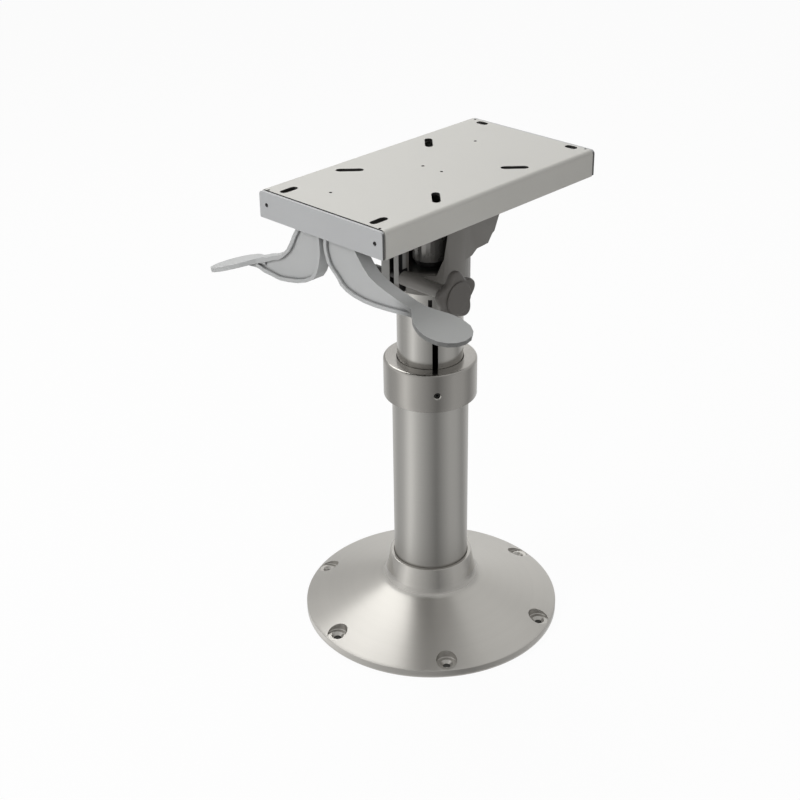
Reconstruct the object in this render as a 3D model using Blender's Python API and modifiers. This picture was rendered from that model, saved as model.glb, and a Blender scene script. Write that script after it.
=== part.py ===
"""Boat seat pedestal.

A spun deck flange carries a fixed outer tube. An inner tube telescopes in it on a
locking gas spring, keyed by a set screw. A cast head swivels on the inner tube, where a
star knob clamps it, and a seat slide with two release levers runs on top of the head.

Units are metres. +Z is up, -Y is the front, where the levers are, and +X is the side of
the star knob. The origin is the centre of the base, on the deck.
"""

import math

import bmesh
import bpy
from mathutils import Matrix

# Clearances
SEAT = 0.0003              # gap left between pieces that rest on each other
RUN = 0.0003               # radial gap of a piece that slides or turns in another

# Deck flange
BASE_RADIUS = 0.155
RIM_HEIGHT = 0.0095
CONE_TOP_HEIGHT = 0.0475   # where the cone would meet the neck
CONE_SPREAD = 0.01005      # and how far outside the fixed tube
CONE_FILLET = 0.014
CONE_WALL = 0.0055
FOOT_RING_WIDTH = 0.031
NECK_WALL = 0.00505        # at its top
NECK_HEIGHT = 0.0785
HUB_WALL = 0.0055
DECK_HOLE_COUNT = 6
DECK_HOLE_INSET = 0.0135
DECK_HOLE_TURN = math.radians(-9.6)
DECK_HOLE_RADIUS = 0.0041
COUNTERSINK_RADIUS = 0.0074
COUNTERSINK_DEPTH = 0.0034
POCKET_RADIUS = 0.0122
FLOOR_THICKNESS = 0.006

# Fixed tube and its collar
OUTER_TUBE_RADIUS = 0.04445
TUBE_WALL = 0.003
COLLAR_WALL = 0.00975
COLLAR_LENGTH = 0.047
COLLAR_LIP = 0.008
COLLAR_EDGE = 0.003
KEY_AZIMUTH = math.radians(51.6)
KEY_RISE = 0.0207          # key screw above the foot of the collar
KEY_RADIUS = 0.003
KEY_RECESS = 0.0027
UPPER_BUSH_LENGTH = 0.050

# Telescoping tube
TUBE_STEP = 0.00635        # the 76.2 mm tube in the 88.9 mm one
TUBE_SHOWN = 0.094         # length between collar and head as shown
LOWER_GUIDE_LENGTH = 0.025
GUIDE_SPACE = 0.0097       # left between the two guides with the seat raised
TRAVEL_DOWN = 0.090
TRAVEL_UP = 0.050
WINDOW_AZIMUTH = math.radians(43.2)
WINDOW_WIDTH = 0.0046
WINDOW_HEIGHT = 0.009
WINDOW_DROP = 0.031        # window centre below the tube's top

# Gas spring
GAS_CYLINDER_RADIUS = 0.014
GAS_CYLINDER_WALL = 0.0017
GAS_GUIDE_LENGTH = 0.010
GAS_ROD_RADIUS = 0.005
GAS_PISTON_LENGTH = 0.010
GAS_BELOW_PISTON = 0.065   # left under the piston with the seat lowered
GAS_ABOVE_PISTON = 0.002   # left over it with the seat raised
PUSH_ROD_RADIUS = 0.003
PUSH_ROD_STROKE = 0.0052

# Seat slide channel
SEAT_HEIGHT = 0.5655       # top of the seat plate above the deck
PLATE_WIDTH = 0.1825
PLATE_LENGTH = 0.3377
PLATE_DEPTH = 0.0308
PLATE_SHIFT = 0.004        # plate centre behind the swivel axis as shown
PLATE_TOP_WALL = 0.0032
PLATE_SIDE_WALL = 0.004
PLATE_CORNER = 0.005
LIP_WIDTH = 0.01125
LIP_THICKNESS = 0.0035
CAP_THICKNESS = 0.003
CAP_SEAM = 0.0011
CAP_STEP = 0.0007          # how far the cap's edge stays inside the channel's
CAP_SCREW_INSET = 0.0115
CAP_SCREW_RADIUS = 0.0013
CAP_SCREW_HEAD = 0.0021
PORT_RADIUS = 0.0044
CAP_SCREW_LENGTH = 0.012

# Bolt slots and holes in the seat plate
DIAGONAL_SLOT = (0.031, 0.009)
DIAGONAL_SLOT_INSET = 0.02775
DIAGONAL_SLOT_Y = 0.0626
FRONT_SLOT = (0.023, 0.009)
REAR_SLOT = (0.016, 0.009)
END_SLOT_INSET = 0.02525
FRONT_SLOT_INSET = 0.02005
REAR_SLOT_INSET = 0.01135
CORNER_HOLE_INSET = (0.00945, 0.00585)
CORNER_HOLE_RADIUS = 0.0016
RIVET_HOLE_X = 0.028
RIVET_HOLE_INSETS = (0.04385, 0.06685)   # from the front and from the rear
RIVET_HOLE_RADIUS = 0.0019
CENTRE_HOLE_X = 0.0137

# Slide carriage and its shoes
CARRIAGE_LENGTH = 0.190
CARRIAGE_THICKNESS = 0.003
CARRIAGE_ARM = 0.030       # width left on each side of the front notch
CARRIAGE_NOTCH_DEPTH = 0.033
CARRIAGE_BORE = 0.016
SHOE_LENGTH = 0.040
SHOE_HEIGHT = 0.0074
SHOE_BACK = 0.00695        # thickness outside the carriage edge
SHOE_LAP = 0.0105          # how far a shoe grips the carriage edge
LOCK_PITCH = 0.010
LOCK_HOLE = (0.008, 0.005)
LOCK_ROW_SPACE = 0.0115    # first and last lock hole from the bolts
SLIDE_FORWARD = 0.055

# Swivel head casting
HEAD_HEIGHT = 0.1034
HEAD_RING_WALL = 0.0071
HEAD_WALL = 0.005
RING_HEIGHT = 0.023
TUBE_IN_RING = 0.018
HEAD_FLANGE = 0.009
HEAD_FLANGE_SPACE = 0.0035  # between the flange and a shoe's lip
HEAD_FLANGE_FROM_NOTCH = 0.0045
HEAD_FLANGE_FROM_REAR = 0.011
GUSSET_THICKNESS = 0.008
GUSSET_RISE = 0.008        # root of the wing above the clamp ring
GUSSET_PROFILE = (         # parts of the flange's rear reach and of the head's height
    (0.2464, 0.3346), (0.3452, 0.3907), (0.5643, 0.4004),
    (0.6488, 0.4932), (0.6905, 0.5126), (0.7381, 0.5996))
GUSSET_REACH = 0.9167
WINDOW_CHEEKS = (          # share of the opening's height and how far it stays inside the body
    (0.0, 0.0097), (0.224, 0.0052), (0.56, 0.0034), (1.0, 0.0027))
WINDOW_BACK = -0.008
COLUMN_WIDTH = 0.024
COLUMN_PROUD = 0.0048      # in front of the round body
COLUMN_DEPTH = 0.0145
COLUMN_SLOT_WIDTH = 0.008
COLUMN_SLOT_HEIGHT = 0.066
COLUMN_SLOT_INSET = 0.0057
SPLIT_GAP = 0.003
SPLIT_X = -0.0145          # middle of the split, left of the centre
CLAMP_PROUD = 0.0028       # clamp axis in front of the round body
CLAMP_RISE = 0.0185        # and above the bottom of the ring
CLAMP_BOSS_RADIUS = 0.008
CLAMP_BOSS_REACH = 0.0208  # end of the boss beside the round body
EAR_RADIUS = 0.0095
SLEEVE_BOSS_RADIUS = 0.025
SLEEVE_BOSS_DEPTH = 0.012
STUD_RADIUS = 0.004
HEAD_BOLT_INSETS = (0.010, 0.0085, 0.009)   # from the flange's side, front and rear
HEAD_BOLT_RADIUS = 0.004
HEAD_BOLT_HEAD = 0.0065
HEAD_BOLT_HEAD_HEIGHT = 0.004

# Swivel bearing
SPINDLE_RADIUS = 0.0125
SPINDLE_PLUG_LENGTH = 0.025
SPINDLE_SHOULDER = 0.0037
THRUST_RADIUS = 0.017
THRUST_THICKNESS = 0.0054
SLEEVE_RADIUS = 0.0195
BUSH_WALL = 0.0022
SLEEVE_INTO_FLANGE = 0.0006
TOP_WASHER_THICKNESS = 0.0015
SPINDLE_NUT_RADIUS = 0.0130
SPINDLE_NUT_HEIGHT = 0.006

# Star knob
KNOB_HUB_RADIUS = 0.0130
KNOB_HUB_LENGTH = 0.0080
KNOB_THICKNESS = 0.0100
KNOB_LOBE_RADIUS = 0.0300
KNOB_WAIST_RADIUS = 0.0225
KNOB_LOBES = 5
KNOB_LOBE_STEPS = 6
KNOB_TURN = math.radians(19)
KNOB_CAP_RADIUS = 0.0185
KNOB_CAP_HEIGHT = 0.0022
KNOB_WASHER_RADIUS = 0.010
KNOB_WASHER_THICKNESS = 0.0014

# Release rods, levers and what they work
ROD_X = 0.024
ROD_DROP = 0.0125          # rod axis below the top of the seat plate
ROD_SIDE = 0.006
LEVER_DEPTH = 0.016
LEVER_FLANGE = 0.0040
LEVER_WEB = 0.0035
LEVER_RECESS = 0.003
LEVER_HUB_RADIUS = 0.0084
LEVER_HUB_SINK = 0.0005
LEVER_STEPS = 2
LEVER_BEHIND_CAP = 0.0015
LEVER_ROOT = (0.082, -0.077)   # where the paddle's top meets the arm, from the hinge
LEVER_ROOT_SINK = 0.0006       # arm's corner below the paddle's top
LEFT_LEVER_LOWER = (       # points of the arm's lower edge from the hinge
    (-0.0113, -0.0085), (-0.0158, -0.0165), (-0.0170, -0.0250), (-0.0172, -0.0400),
    (-0.0135, -0.0560), (-0.0045, -0.0695), (0.0190, -0.0797), (0.0480, -0.0848),
    (0.0720, -0.0868), (0.0980, -0.0890))
LEFT_LEVER_UPPER = ((0.053, -0.0590), (0.034, -0.0465), (0.0245, -0.0305))
RIGHT_LEVER_LOWER = (
    (-0.0275, -0.0085), (-0.0312, -0.0165), (-0.0330, -0.0250), (-0.0328, -0.0400),
    (-0.0250, -0.0560), (-0.0085, -0.0695), (0.0170, -0.0797), (0.0480, -0.0848),
    (0.0720, -0.0868), (0.0980, -0.0890))
RIGHT_LEVER_UPPER = ((0.053, -0.0640), (0.032, -0.0505), (0.0195, -0.0305))
PADDLE_SLOPE = math.radians(18.8)
PADDLE_THICKNESS = 0.005
PADDLE_END_RADIUS = 0.0262
PADDLE_REACH = 0.049       # centre of the round end from the paddle's root
PADDLE_ROOT = 0.010        # length of the paddle sunk in the arm
PADDLE_NECK = (0.004, 0.019, 0.036)   # where it widens
PADDLE_SHIFT = 0.005       # round end in front of the arm's middle
LEVER_PIN_RADIUS = 0.0015
LOCK_LEVER_LIFT = math.radians(11)   # lock finger shown riding between two holes
RELEASE_SWING = math.radians(12)
BRACKET_SHEET = 0.0018
BRACKET_HALF_WIDTH = 0.046
FRONT_BRACKET_DEPTH = 0.023
REAR_BRACKET_Y = 0.098
REAR_BRACKET_DEPTH = 0.014
FINGER_REACH = 0.016
FINGER_THICKNESS = 0.004
FINGER_HUB_RADIUS = 0.0062
FINGER_FOOT = 0.005
SPRING_RADIUS = 0.0027
SPRING_WIRE = 0.0004
SPRING_TURNS = 3
CRANK_HUB_RADIUS = 0.0058
CRANK_HUB_LENGTH = 0.044
CRANK_ARM_THICKNESS = 0.010
CRANK_NOSE_RADIUS = 0.004
CRANK_NOSE_DROP = 0.0025
CRANK_EAR_RADIUS = 0.0086
CRANK_EAR_THICKNESS = 0.003
CRANK_EAR_Y = 0.0155

# Round pieces
FINE = 52
ROUND = 36
BUSH = 24
SMALL = 12

# Radii worked out from the two tubes
INNER_TUBE_RADIUS = OUTER_TUBE_RADIUS - TUBE_STEP
OUTER_BORE = OUTER_TUBE_RADIUS - TUBE_WALL
INNER_BORE = INNER_TUBE_RADIUS - TUBE_WALL
TUBE_SOCKET = OUTER_TUBE_RADIUS + SEAT
GUIDE_OUTSIDE = OUTER_BORE - RUN
GUIDE_INSIDE = INNER_TUBE_RADIUS + RUN
KEY_BORE = KEY_RADIUS + RUN
NECK_TOP_RADIUS = OUTER_TUBE_RADIUS + NECK_WALL
CONE_TOP_RADIUS = OUTER_TUBE_RADIUS + CONE_SPREAD
DECK_HOLE_CIRCLE = BASE_RADIUS - DECK_HOLE_INSET
COLLAR_RADIUS = OUTER_TUBE_RADIUS + COLLAR_WALL
HEAD_RADIUS = INNER_TUBE_RADIUS + HEAD_RING_WALL
CLAMP_FORWARD = HEAD_RADIUS + CLAMP_PROUD
CLAMP_BOSS_END = HEAD_RADIUS + CLAMP_BOSS_REACH
COLUMN_FRONT = HEAD_RADIUS + COLUMN_PROUD

# Heights worked out from the seat plate down
PLATE_BOTTOM = SEAT_HEIGHT - PLATE_DEPTH
PLATE_UNDERSIDE = SEAT_HEIGHT - PLATE_TOP_WALL
TRACK_FLOOR = PLATE_BOTTOM + LIP_THICKNESS
SHOE_BOTTOM = TRACK_FLOOR + RUN
SHOE_TOP = SHOE_BOTTOM + SHOE_HEIGHT
PORT_BOTTOM = SHOE_TOP + RUN
CARRIAGE_BOTTOM = SHOE_BOTTOM + (SHOE_HEIGHT - CARRIAGE_THICKNESS) / 2
CARRIAGE_TOP = CARRIAGE_BOTTOM + CARRIAGE_THICKNESS
HEAD_TOP = CARRIAGE_BOTTOM - SEAT
FLANGE_BOTTOM = HEAD_TOP - HEAD_FLANGE
RING_BOTTOM = HEAD_TOP - HEAD_HEIGHT
RING_TOP = RING_BOTTOM + RING_HEIGHT
CLAMP_HEIGHT = RING_BOTTOM + CLAMP_RISE
ROD_HEIGHT = SEAT_HEIGHT - ROD_DROP
INNER_TUBE_TOP = RING_BOTTOM + TUBE_IN_RING
COLLAR_TOP = RING_BOTTOM - TUBE_SHOWN
COLLAR_BOTTOM = COLLAR_TOP - COLLAR_LENGTH
COLLAR_LEDGE = COLLAR_TOP - COLLAR_LIP
KEY_HEIGHT = COLLAR_BOTTOM + KEY_RISE
UPPER_BUSH_TOP = COLLAR_LEDGE - SEAT
UPPER_BUSH_BOTTOM = UPPER_BUSH_TOP - UPPER_BUSH_LENGTH
INNER_TUBE_BOTTOM = UPPER_BUSH_BOTTOM - TRAVEL_UP - GUIDE_SPACE - LOWER_GUIDE_LENGTH

# Heights of the gas spring worked out from the deck up
GAS_CYLINDER_BOTTOM = FLOOR_THICKNESS + SEAT
GAS_ROD_BOTTOM = GAS_CYLINDER_BOTTOM + GAS_CYLINDER_WALL + GAS_BELOW_PISTON + TRAVEL_DOWN
GAS_GUIDE_BOTTOM = GAS_ROD_BOTTOM + GAS_PISTON_LENGTH + TRAVEL_UP + GAS_ABOVE_PISTON
GAS_CYLINDER_TOP = GAS_GUIDE_BOTTOM + GAS_GUIDE_LENGTH

# Widths worked out from the seat plate inwards
CARRIAGE_EDGE = PLATE_WIDTH / 2 - PLATE_SIDE_WALL - RUN - SHOE_BACK
HEAD_FLANGE_HALF_WIDTH = CARRIAGE_EDGE - SHOE_LAP - HEAD_FLANGE_SPACE
HEAD_BOLT_X = HEAD_FLANGE_HALF_WIDTH - HEAD_BOLT_INSETS[0]
CAP_SCREW_X = PLATE_WIDTH / 2 - CAP_SCREW_INSET
CAP_SCREW_Z = PORT_BOTTOM + PORT_RADIUS

# Lengths along the slide
PLATE_FRONT = PLATE_SHIFT - PLATE_LENGTH / 2
PLATE_REAR = PLATE_SHIFT + PLATE_LENGTH / 2
CHANNEL_FRONT = PLATE_FRONT + CAP_THICKNESS + CAP_SEAM
CHANNEL_REAR = PLATE_REAR - CAP_THICKNESS - CAP_SEAM
LEVER_FRONT = CHANNEL_FRONT + LEVER_BEHIND_CAP
LEVER_BACK = LEVER_FRONT + LEVER_DEPTH
NOTCH_END = -CARRIAGE_LENGTH / 2 + CARRIAGE_NOTCH_DEPTH
HEAD_FLANGE_FRONT = NOTCH_END + HEAD_FLANGE_FROM_NOTCH
HEAD_FLANGE_REAR = CARRIAGE_LENGTH / 2 - HEAD_FLANGE_FROM_REAR
HEAD_BOLT_Y = (HEAD_FLANGE_FRONT + HEAD_BOLT_INSETS[1], HEAD_FLANGE_REAR - HEAD_BOLT_INSETS[2])
LOCK_HOLE_FIRST = HEAD_BOLT_Y[0] + LOCK_ROW_SPACE
LOCK_HOLE_COUNT = 1 + int((HEAD_BOLT_Y[1] - LOCK_ROW_SPACE - LOCK_HOLE_FIRST) / LOCK_PITCH + 0.05)
FINGER_Y = LOCK_HOLE_FIRST + SLIDE_FORWARD


# Scene

for old_object in list(bpy.data.objects):
    bpy.data.objects.remove(old_object, do_unlink=True)

PARTS = bpy.data.collections.new("boat_seat_pedestal")
CUTTERS = bpy.data.collections.new("cutters")
bpy.context.scene.collection.children.link(PARTS)
bpy.context.scene.collection.children.link(CUTTERS)


def metal_or_plastic(name, colour, roughness, metallic):
    """Return a Principled material of one colour."""
    made = bpy.data.materials.new(name)
    made.use_nodes = True
    shader = made.node_tree.nodes["Principled BSDF"]
    shader.inputs["Base Color"].default_value = (*colour, 1.0)
    shader.inputs["Roughness"].default_value = roughness
    shader.inputs["Metallic"].default_value = metallic
    return made


SPUN_ALUMINIUM = metal_or_plastic("spun_aluminium", (0.60, 0.59, 0.56), 0.32, 1.0)
TUBE_ALUMINIUM = metal_or_plastic("anodised_tube", (0.62, 0.61, 0.58), 0.28, 1.0)
POLISHED_TUBE = metal_or_plastic("polished_tube", (0.68, 0.67, 0.64), 0.15, 1.0)
BRIGHT_STEEL = metal_or_plastic("bright_steel", (0.62, 0.62, 0.62), 0.22, 1.0)
GREY_PAINT = metal_or_plastic("grey_paint", (0.36, 0.36, 0.35), 0.45, 0.0)
PLATE_PAINT = metal_or_plastic("plate_paint", (0.56, 0.56, 0.54), 0.40, 0.0)
LEVER_PAINT = metal_or_plastic("lever_paint", (0.40, 0.41, 0.41), 0.45, 0.0)
KNOB_PLASTIC = metal_or_plastic("knob_plastic", (0.10, 0.095, 0.09), 0.5, 0.0)
SHOE_PLASTIC = metal_or_plastic("shoe_plastic", (0.75, 0.75, 0.72), 0.45, 0.0)
ZINC_STEEL = metal_or_plastic("zinc_steel", (0.50, 0.50, 0.48), 0.35, 1.0)
BLACK_STEEL = metal_or_plastic("black_steel", (0.03, 0.03, 0.03), 0.4, 0.6)


# Outlines in a plane

def arc(centre, radius, start, end, steps):
    """Points on a circle from one angle in degrees to another, both ends included."""
    points = []
    for step in range(steps + 1):
        angle = math.radians(start + (end - start) * step / steps)
        points.append((centre[0] + radius * math.cos(angle), centre[1] + radius * math.sin(angle)))
    return points


def circle(centre, radius, steps):
    """A closed circle."""
    return arc(centre, radius, 0, 360, steps)[:-1]


def rectangle(low, high):
    """A closed rectangle between two corners."""
    return [(low[0], low[1]), (high[0], low[1]), (high[0], high[1]), (low[0], high[1])]


def rounded_rectangle(low, high, radius, steps=5):
    """A closed rectangle with round corners."""
    corners = (
        ((high[0] - radius, high[1] - radius), 0),
        ((low[0] + radius, high[1] - radius), 90),
        ((low[0] + radius, low[1] + radius), 180),
        ((high[0] - radius, low[1] + radius), 270),
    )
    points = []
    for centre, start in corners:
        points += arc(centre, radius, start, start + 90, steps)
    return points


def slot(centre, size, angle=0.0, steps=4):
    """A closed slot with round ends, its length at an angle in radians to the first axis."""
    radius = size[1] / 2
    half = size[0] / 2 - radius
    straight = arc((half, 0), radius, -90, 90, steps) + arc((-half, 0), radius, 90, 270, steps)
    cosine, sine = math.cos(angle), math.sin(angle)
    return [(centre[0] + x * cosine - y * sine, centre[1] + x * sine + y * cosine)
            for x, y in straight]


def curve_through(points, steps):
    """A smooth line through points, with the two ends included."""
    ends = [points[0]] + list(points) + [points[-1]]
    line = []
    for index in range(1, len(ends) - 2):
        before, start, end, after = ends[index - 1:index + 3]
        for step in range(steps):
            t = step / steps
            line.append(tuple(
                0.5 * (2 * s + (e - b) * t + (2 * b - 5 * s + 4 * e - a) * t ** 2
                       + (3 * s - b - 3 * e + a) * t ** 3)
                for b, s, e, a in zip(before, start, end, after)))
    line.append(tuple(points[-1]))
    return line


def corner_fillet(before, corner, after, radius, steps):
    """Points of the arc that rounds a corner between two straight runs."""
    def unit(point):
        length = math.hypot(point[0] - corner[0], point[1] - corner[1])
        return ((point[0] - corner[0]) / length, (point[1] - corner[1]) / length)

    first, second = unit(before), unit(after)
    half_angle = math.acos(first[0] * second[0] + first[1] * second[1]) / 2
    reach = radius / math.tan(half_angle)
    middle = (first[0] + second[0], first[1] + second[1])
    scale = radius / math.sin(half_angle) / math.hypot(*middle)
    centre = (corner[0] + middle[0] * scale, corner[1] + middle[1] * scale)
    start = (corner[0] + first[0] * reach, corner[1] + first[1] * reach)
    end = (corner[0] + second[0] * reach, corner[1] + second[1] * reach)
    start_angle = math.atan2(start[1] - centre[1], start[0] - centre[0])
    turn = math.atan2(end[1] - centre[1], end[0] - centre[0]) - start_angle
    turn = (turn + math.pi) % math.tau - math.pi
    return [(centre[0] + radius * math.cos(start_angle + turn * step / steps),
             centre[1] + radius * math.sin(start_angle + turn * step / steps))
            for step in range(steps + 1)]


def distance_to_run(point, start, end):
    """How far a point is from a straight run."""
    run = (end[0] - start[0], end[1] - start[1])
    along = ((point[0] - start[0]) * run[0] + (point[1] - start[1]) * run[1]) / (
        run[0] ** 2 + run[1] ** 2)
    along = max(0.0, min(1.0, along))
    return math.hypot(point[0] - start[0] - along * run[0], point[1] - start[1] - along * run[1])


def inset(loop, distance):
    """Move a closed outline inwards by a distance, and drop points that cross over."""
    runs = list(zip(loop, loop[1:] + loop[:1]))
    area = sum(x0 * y1 - x1 * y0 for (x0, y0), (x1, y1) in runs)
    side = 1 if area > 0 else -1
    moved = []
    for index, point in enumerate(loop):
        before, after = loop[index - 1], loop[(index + 1) % len(loop)]
        normals = []
        for start, end in ((before, point), (point, after)):
            run = (end[0] - start[0], end[1] - start[1])
            length = math.hypot(*run)
            normals.append((-run[1] / length * side, run[0] / length * side))
        total = (normals[0][0] + normals[1][0], normals[0][1] + normals[1][1])
        size = total[0] ** 2 + total[1] ** 2
        moved.append((point[0] + 2 * distance * total[0] / size,
                      point[1] + 2 * distance * total[1] / size))
    return [point for point in moved
            if min(distance_to_run(point, start, end) for start, end in runs) > 0.97 * distance]


# Solids

def link_part(name, mesh, finish, parent=None):
    """Make an object of a mesh with its finish, in the parts collection."""
    part = bpy.data.objects.new(name, mesh)
    mesh.materials.clear()
    mesh.materials.append(finish)
    PARTS.objects.link(part)
    part.parent = parent
    mesh.shade_smooth()
    mesh.set_sharp_from_angle(angle=math.radians(35))
    return part


def link_tool(name, mesh, parent=None):
    """Make a hidden object that cuts or joins a part."""
    tool = bpy.data.objects.new(name, mesh)
    tool.hide_render = True
    tool.display_type = "WIRE"
    CUTTERS.objects.link(tool)
    tool.parent = parent
    return tool


def boolean(part, tool, operation):
    """Cut a part with a tool, or join a tool to it."""
    step = part.modifiers.new(operation.lower(), "BOOLEAN")
    step.operation = operation
    step.object = tool
    step.solver = "EXACT"


def cut(part, *tools):
    """Cut a part with each tool."""
    for tool in tools:
        boolean(part, tool, "DIFFERENCE")


def join(part, *tools):
    """Join each tool to a part."""
    for tool in tools:
        boolean(part, tool, "UNION")


def soften(part, width, segments=2, angle=40):
    """Round the edges of a part that are sharper than an angle in degrees."""
    edge = part.modifiers.new("rounded_edges", "BEVEL")
    edge.width = width
    edge.segments = segments
    edge.limit_method = "ANGLE"
    edge.angle_limit = math.radians(angle)


def turned_mesh(name, profile, steps=ROUND):
    """Turn a profile of (radius, height) about Z. It runs down the outer side.

    A profile that starts and ends on the axis is open, and any other one is closed.
    """
    on_axis = profile[0][0] == 0 and profile[-1][0] == 0
    count = len(profile)
    edges = [(index, index + 1) for index in range(count - 1)]
    if not on_axis:
        edges.append((count - 1, 0))
    flat = bpy.data.meshes.new(name + "_profile")
    flat.from_pydata([(radius, 0, height) for radius, height in profile], edges, [])
    holder = bpy.data.objects.new(name + "_profile", flat)
    CUTTERS.objects.link(holder)
    turn = holder.modifiers.new("turn", "SCREW")
    turn.steps = steps
    turn.render_steps = steps
    turn.use_merge_vertices = on_axis
    turn.merge_threshold = 0.00001
    mesh = evaluated_mesh(holder)
    mesh.name = name
    return mesh


def evaluated_mesh(holder):
    """Take an object's evaluated mesh, and remove the object."""
    bpy.context.view_layer.update()
    graph = bpy.context.evaluated_depsgraph_get()
    mesh = bpy.data.meshes.new_from_object(holder.evaluated_get(graph))
    bpy.data.objects.remove(holder, do_unlink=True)
    return mesh


# Where an outline's plane lies: its two axes and the way it is extruded
PLANES = {
    "Z": Matrix(((1, 0, 0, 0), (0, 1, 0, 0), (0, 0, 1, 0), (0, 0, 0, 1))),
    "Y": Matrix(((1, 0, 0, 0), (0, 0, -1, 0), (0, 1, 0, 0), (0, 0, 0, 1))),
    "X": Matrix(((0, 0, 1, 0), (1, 0, 0, 0), (0, 1, 0, 0), (0, 0, 0, 1))),
}


def extruded_mesh(name, loops, along, low, high):
    """Fill flat outlines, with inner ones as holes, and extrude them along an axis.

    Outlines are (x, y) along Z, (x, z) along Y and (y, z) along X.
    """
    flat = bpy.data.curves.new(name + "_outline", "CURVE")
    flat.dimensions = "2D"
    flat.fill_mode = "BOTH"
    flat.extrude = (high - low) / 2
    for loop in loops:
        spline = flat.splines.new("POLY")
        spline.points.add(len(loop) - 1)
        for point, (first, second) in zip(spline.points, loop):
            point.co = (first, second, 0, 1)
        spline.use_cyclic_u = True
    holder = bpy.data.objects.new(name + "_outline", flat)
    CUTTERS.objects.link(holder)
    mesh = evaluated_mesh(holder)
    mesh.name = name
    middle = (low + high) / 2
    if along == "Y":
        middle = -middle
    mesh.transform(PLANES[along] @ Matrix.Translation((0, 0, middle)))
    close_mesh(mesh)
    return mesh


def close_mesh(mesh):
    """Merge the points that coincide, and turn every face outwards."""
    work = bmesh.new()
    work.from_mesh(mesh)
    bmesh.ops.remove_doubles(work, verts=work.verts, dist=0.000001)
    bmesh.ops.recalc_face_normals(work, faces=work.faces)
    if work.calc_volume(signed=True) < 0:
        bmesh.ops.reverse_faces(work, faces=work.faces)
    work.to_mesh(mesh)
    work.free()


def box_mesh(name, low, high):
    """A box between two corners."""
    work = bmesh.new()
    bmesh.ops.create_cube(work, size=1)
    size = [b - a for a, b in zip(low, high)]
    middle = [(a + b) / 2 for a, b in zip(low, high)]
    work.transform(Matrix.Translation(middle) @ Matrix.Diagonal((*size, 1)))
    mesh = bpy.data.meshes.new(name)
    work.to_mesh(mesh)
    work.free()
    return mesh


def rod_mesh(name, radius, along, centre, low, high, steps=SMALL, end_radius=None):
    """A cylinder or cone along an axis. Centre gives its place on the other two axes."""
    work = bmesh.new()
    bmesh.ops.create_cone(work, cap_ends=True, segments=steps, radius1=radius,
                          radius2=radius if end_radius is None else end_radius,
                          depth=high - low)
    middle = (low + high) / 2
    if along == "X":
        place = Matrix.Translation((middle, *centre)) @ Matrix.Rotation(math.pi / 2, 4, "Y")
    elif along == "Y":
        place = (Matrix.Translation((centre[0], middle, centre[1]))
                 @ Matrix.Rotation(-math.pi / 2, 4, "X"))
    else:
        place = Matrix.Translation((*centre, middle))
    work.transform(place)
    mesh = bpy.data.meshes.new(name)
    work.to_mesh(mesh)
    work.free()
    return mesh


def tube_profile(inside, outside, low, high):
    """The profile of a plain ring."""
    return [(outside, high), (outside, low), (inside, low), (inside, high)]


def turned(name, profile, finish, steps=ROUND, parent=None):
    """A turned part."""
    return link_part(name, turned_mesh(name, profile, steps), finish, parent)


def face_outwards(item, azimuth):
    """Turn an object built along +X to an azimuth measured from the front towards +X."""
    item.rotation_euler = (0, 0, azimuth - math.pi / 2)


# Base

def base_flange():
    """Spun and turned flange: thin cone, flat foot ring and a socket for the tube."""
    neck_top = (NECK_TOP_RADIUS, NECK_HEIGHT)
    cone_top = (CONE_TOP_RADIUS, CONE_TOP_HEIGHT)
    rim_top = (BASE_RADIUS, RIM_HEIGHT)
    edge = 0.0008
    hub = TUBE_SOCKET + HUB_WALL
    ring_inside = BASE_RADIUS - FOOT_RING_WIDTH
    slope = (CONE_TOP_HEIGHT - RIM_HEIGHT) / (BASE_RADIUS - CONE_TOP_RADIUS)

    def under_cone(radius):
        return RIM_HEIGHT + slope * (BASE_RADIUS - radius) - CONE_WALL

    profile = [(NECK_TOP_RADIUS - edge, NECK_HEIGHT), (NECK_TOP_RADIUS, NECK_HEIGHT - edge)]
    profile += corner_fillet(neck_top, cone_top, rim_top, CONE_FILLET, 4)
    profile += corner_fillet(cone_top, rim_top, (BASE_RADIUS, 0), edge, 1)
    profile += [(BASE_RADIUS, 0), (ring_inside, 0), (ring_inside, under_cone(ring_inside)),
                (hub, under_cone(hub)), (hub, 0), (TUBE_SOCKET, 0), (TUBE_SOCKET, NECK_HEIGHT)]
    flange = turned("base_flange", profile, SPUN_ALUMINIUM, FINE)
    for index in range(DECK_HOLE_COUNT):
        angle = DECK_HOLE_TURN + math.tau * index / DECK_HOLE_COUNT
        place = (DECK_HOLE_CIRCLE * math.sin(angle), -DECK_HOLE_CIRCLE * math.cos(angle))
        pocket = rod_mesh("deck_pocket", POCKET_RADIUS, "Z", place, RIM_HEIGHT, NECK_HEIGHT)
        sink = rod_mesh("deck_countersink", DECK_HOLE_RADIUS, "Z", place,
                        RIM_HEIGHT - COUNTERSINK_DEPTH, RIM_HEIGHT + SEAT,
                        end_radius=COUNTERSINK_RADIUS)
        hole = rod_mesh("deck_hole", DECK_HOLE_RADIUS, "Z", place, -RIM_HEIGHT, RIM_HEIGHT)
        cut(flange, *(link_tool(mesh.name, mesh) for mesh in (pocket, sink, hole)))
    return flange


def socket_floor():
    """Disc pressed into the foot of the socket, flush with the deck."""
    profile = [(0, FLOOR_THICKNESS), (OUTER_TUBE_RADIUS, FLOOR_THICKNESS),
               (OUTER_TUBE_RADIUS, 0), (0, 0)]
    return turned("socket_floor", profile, ZINC_STEEL)


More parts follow.
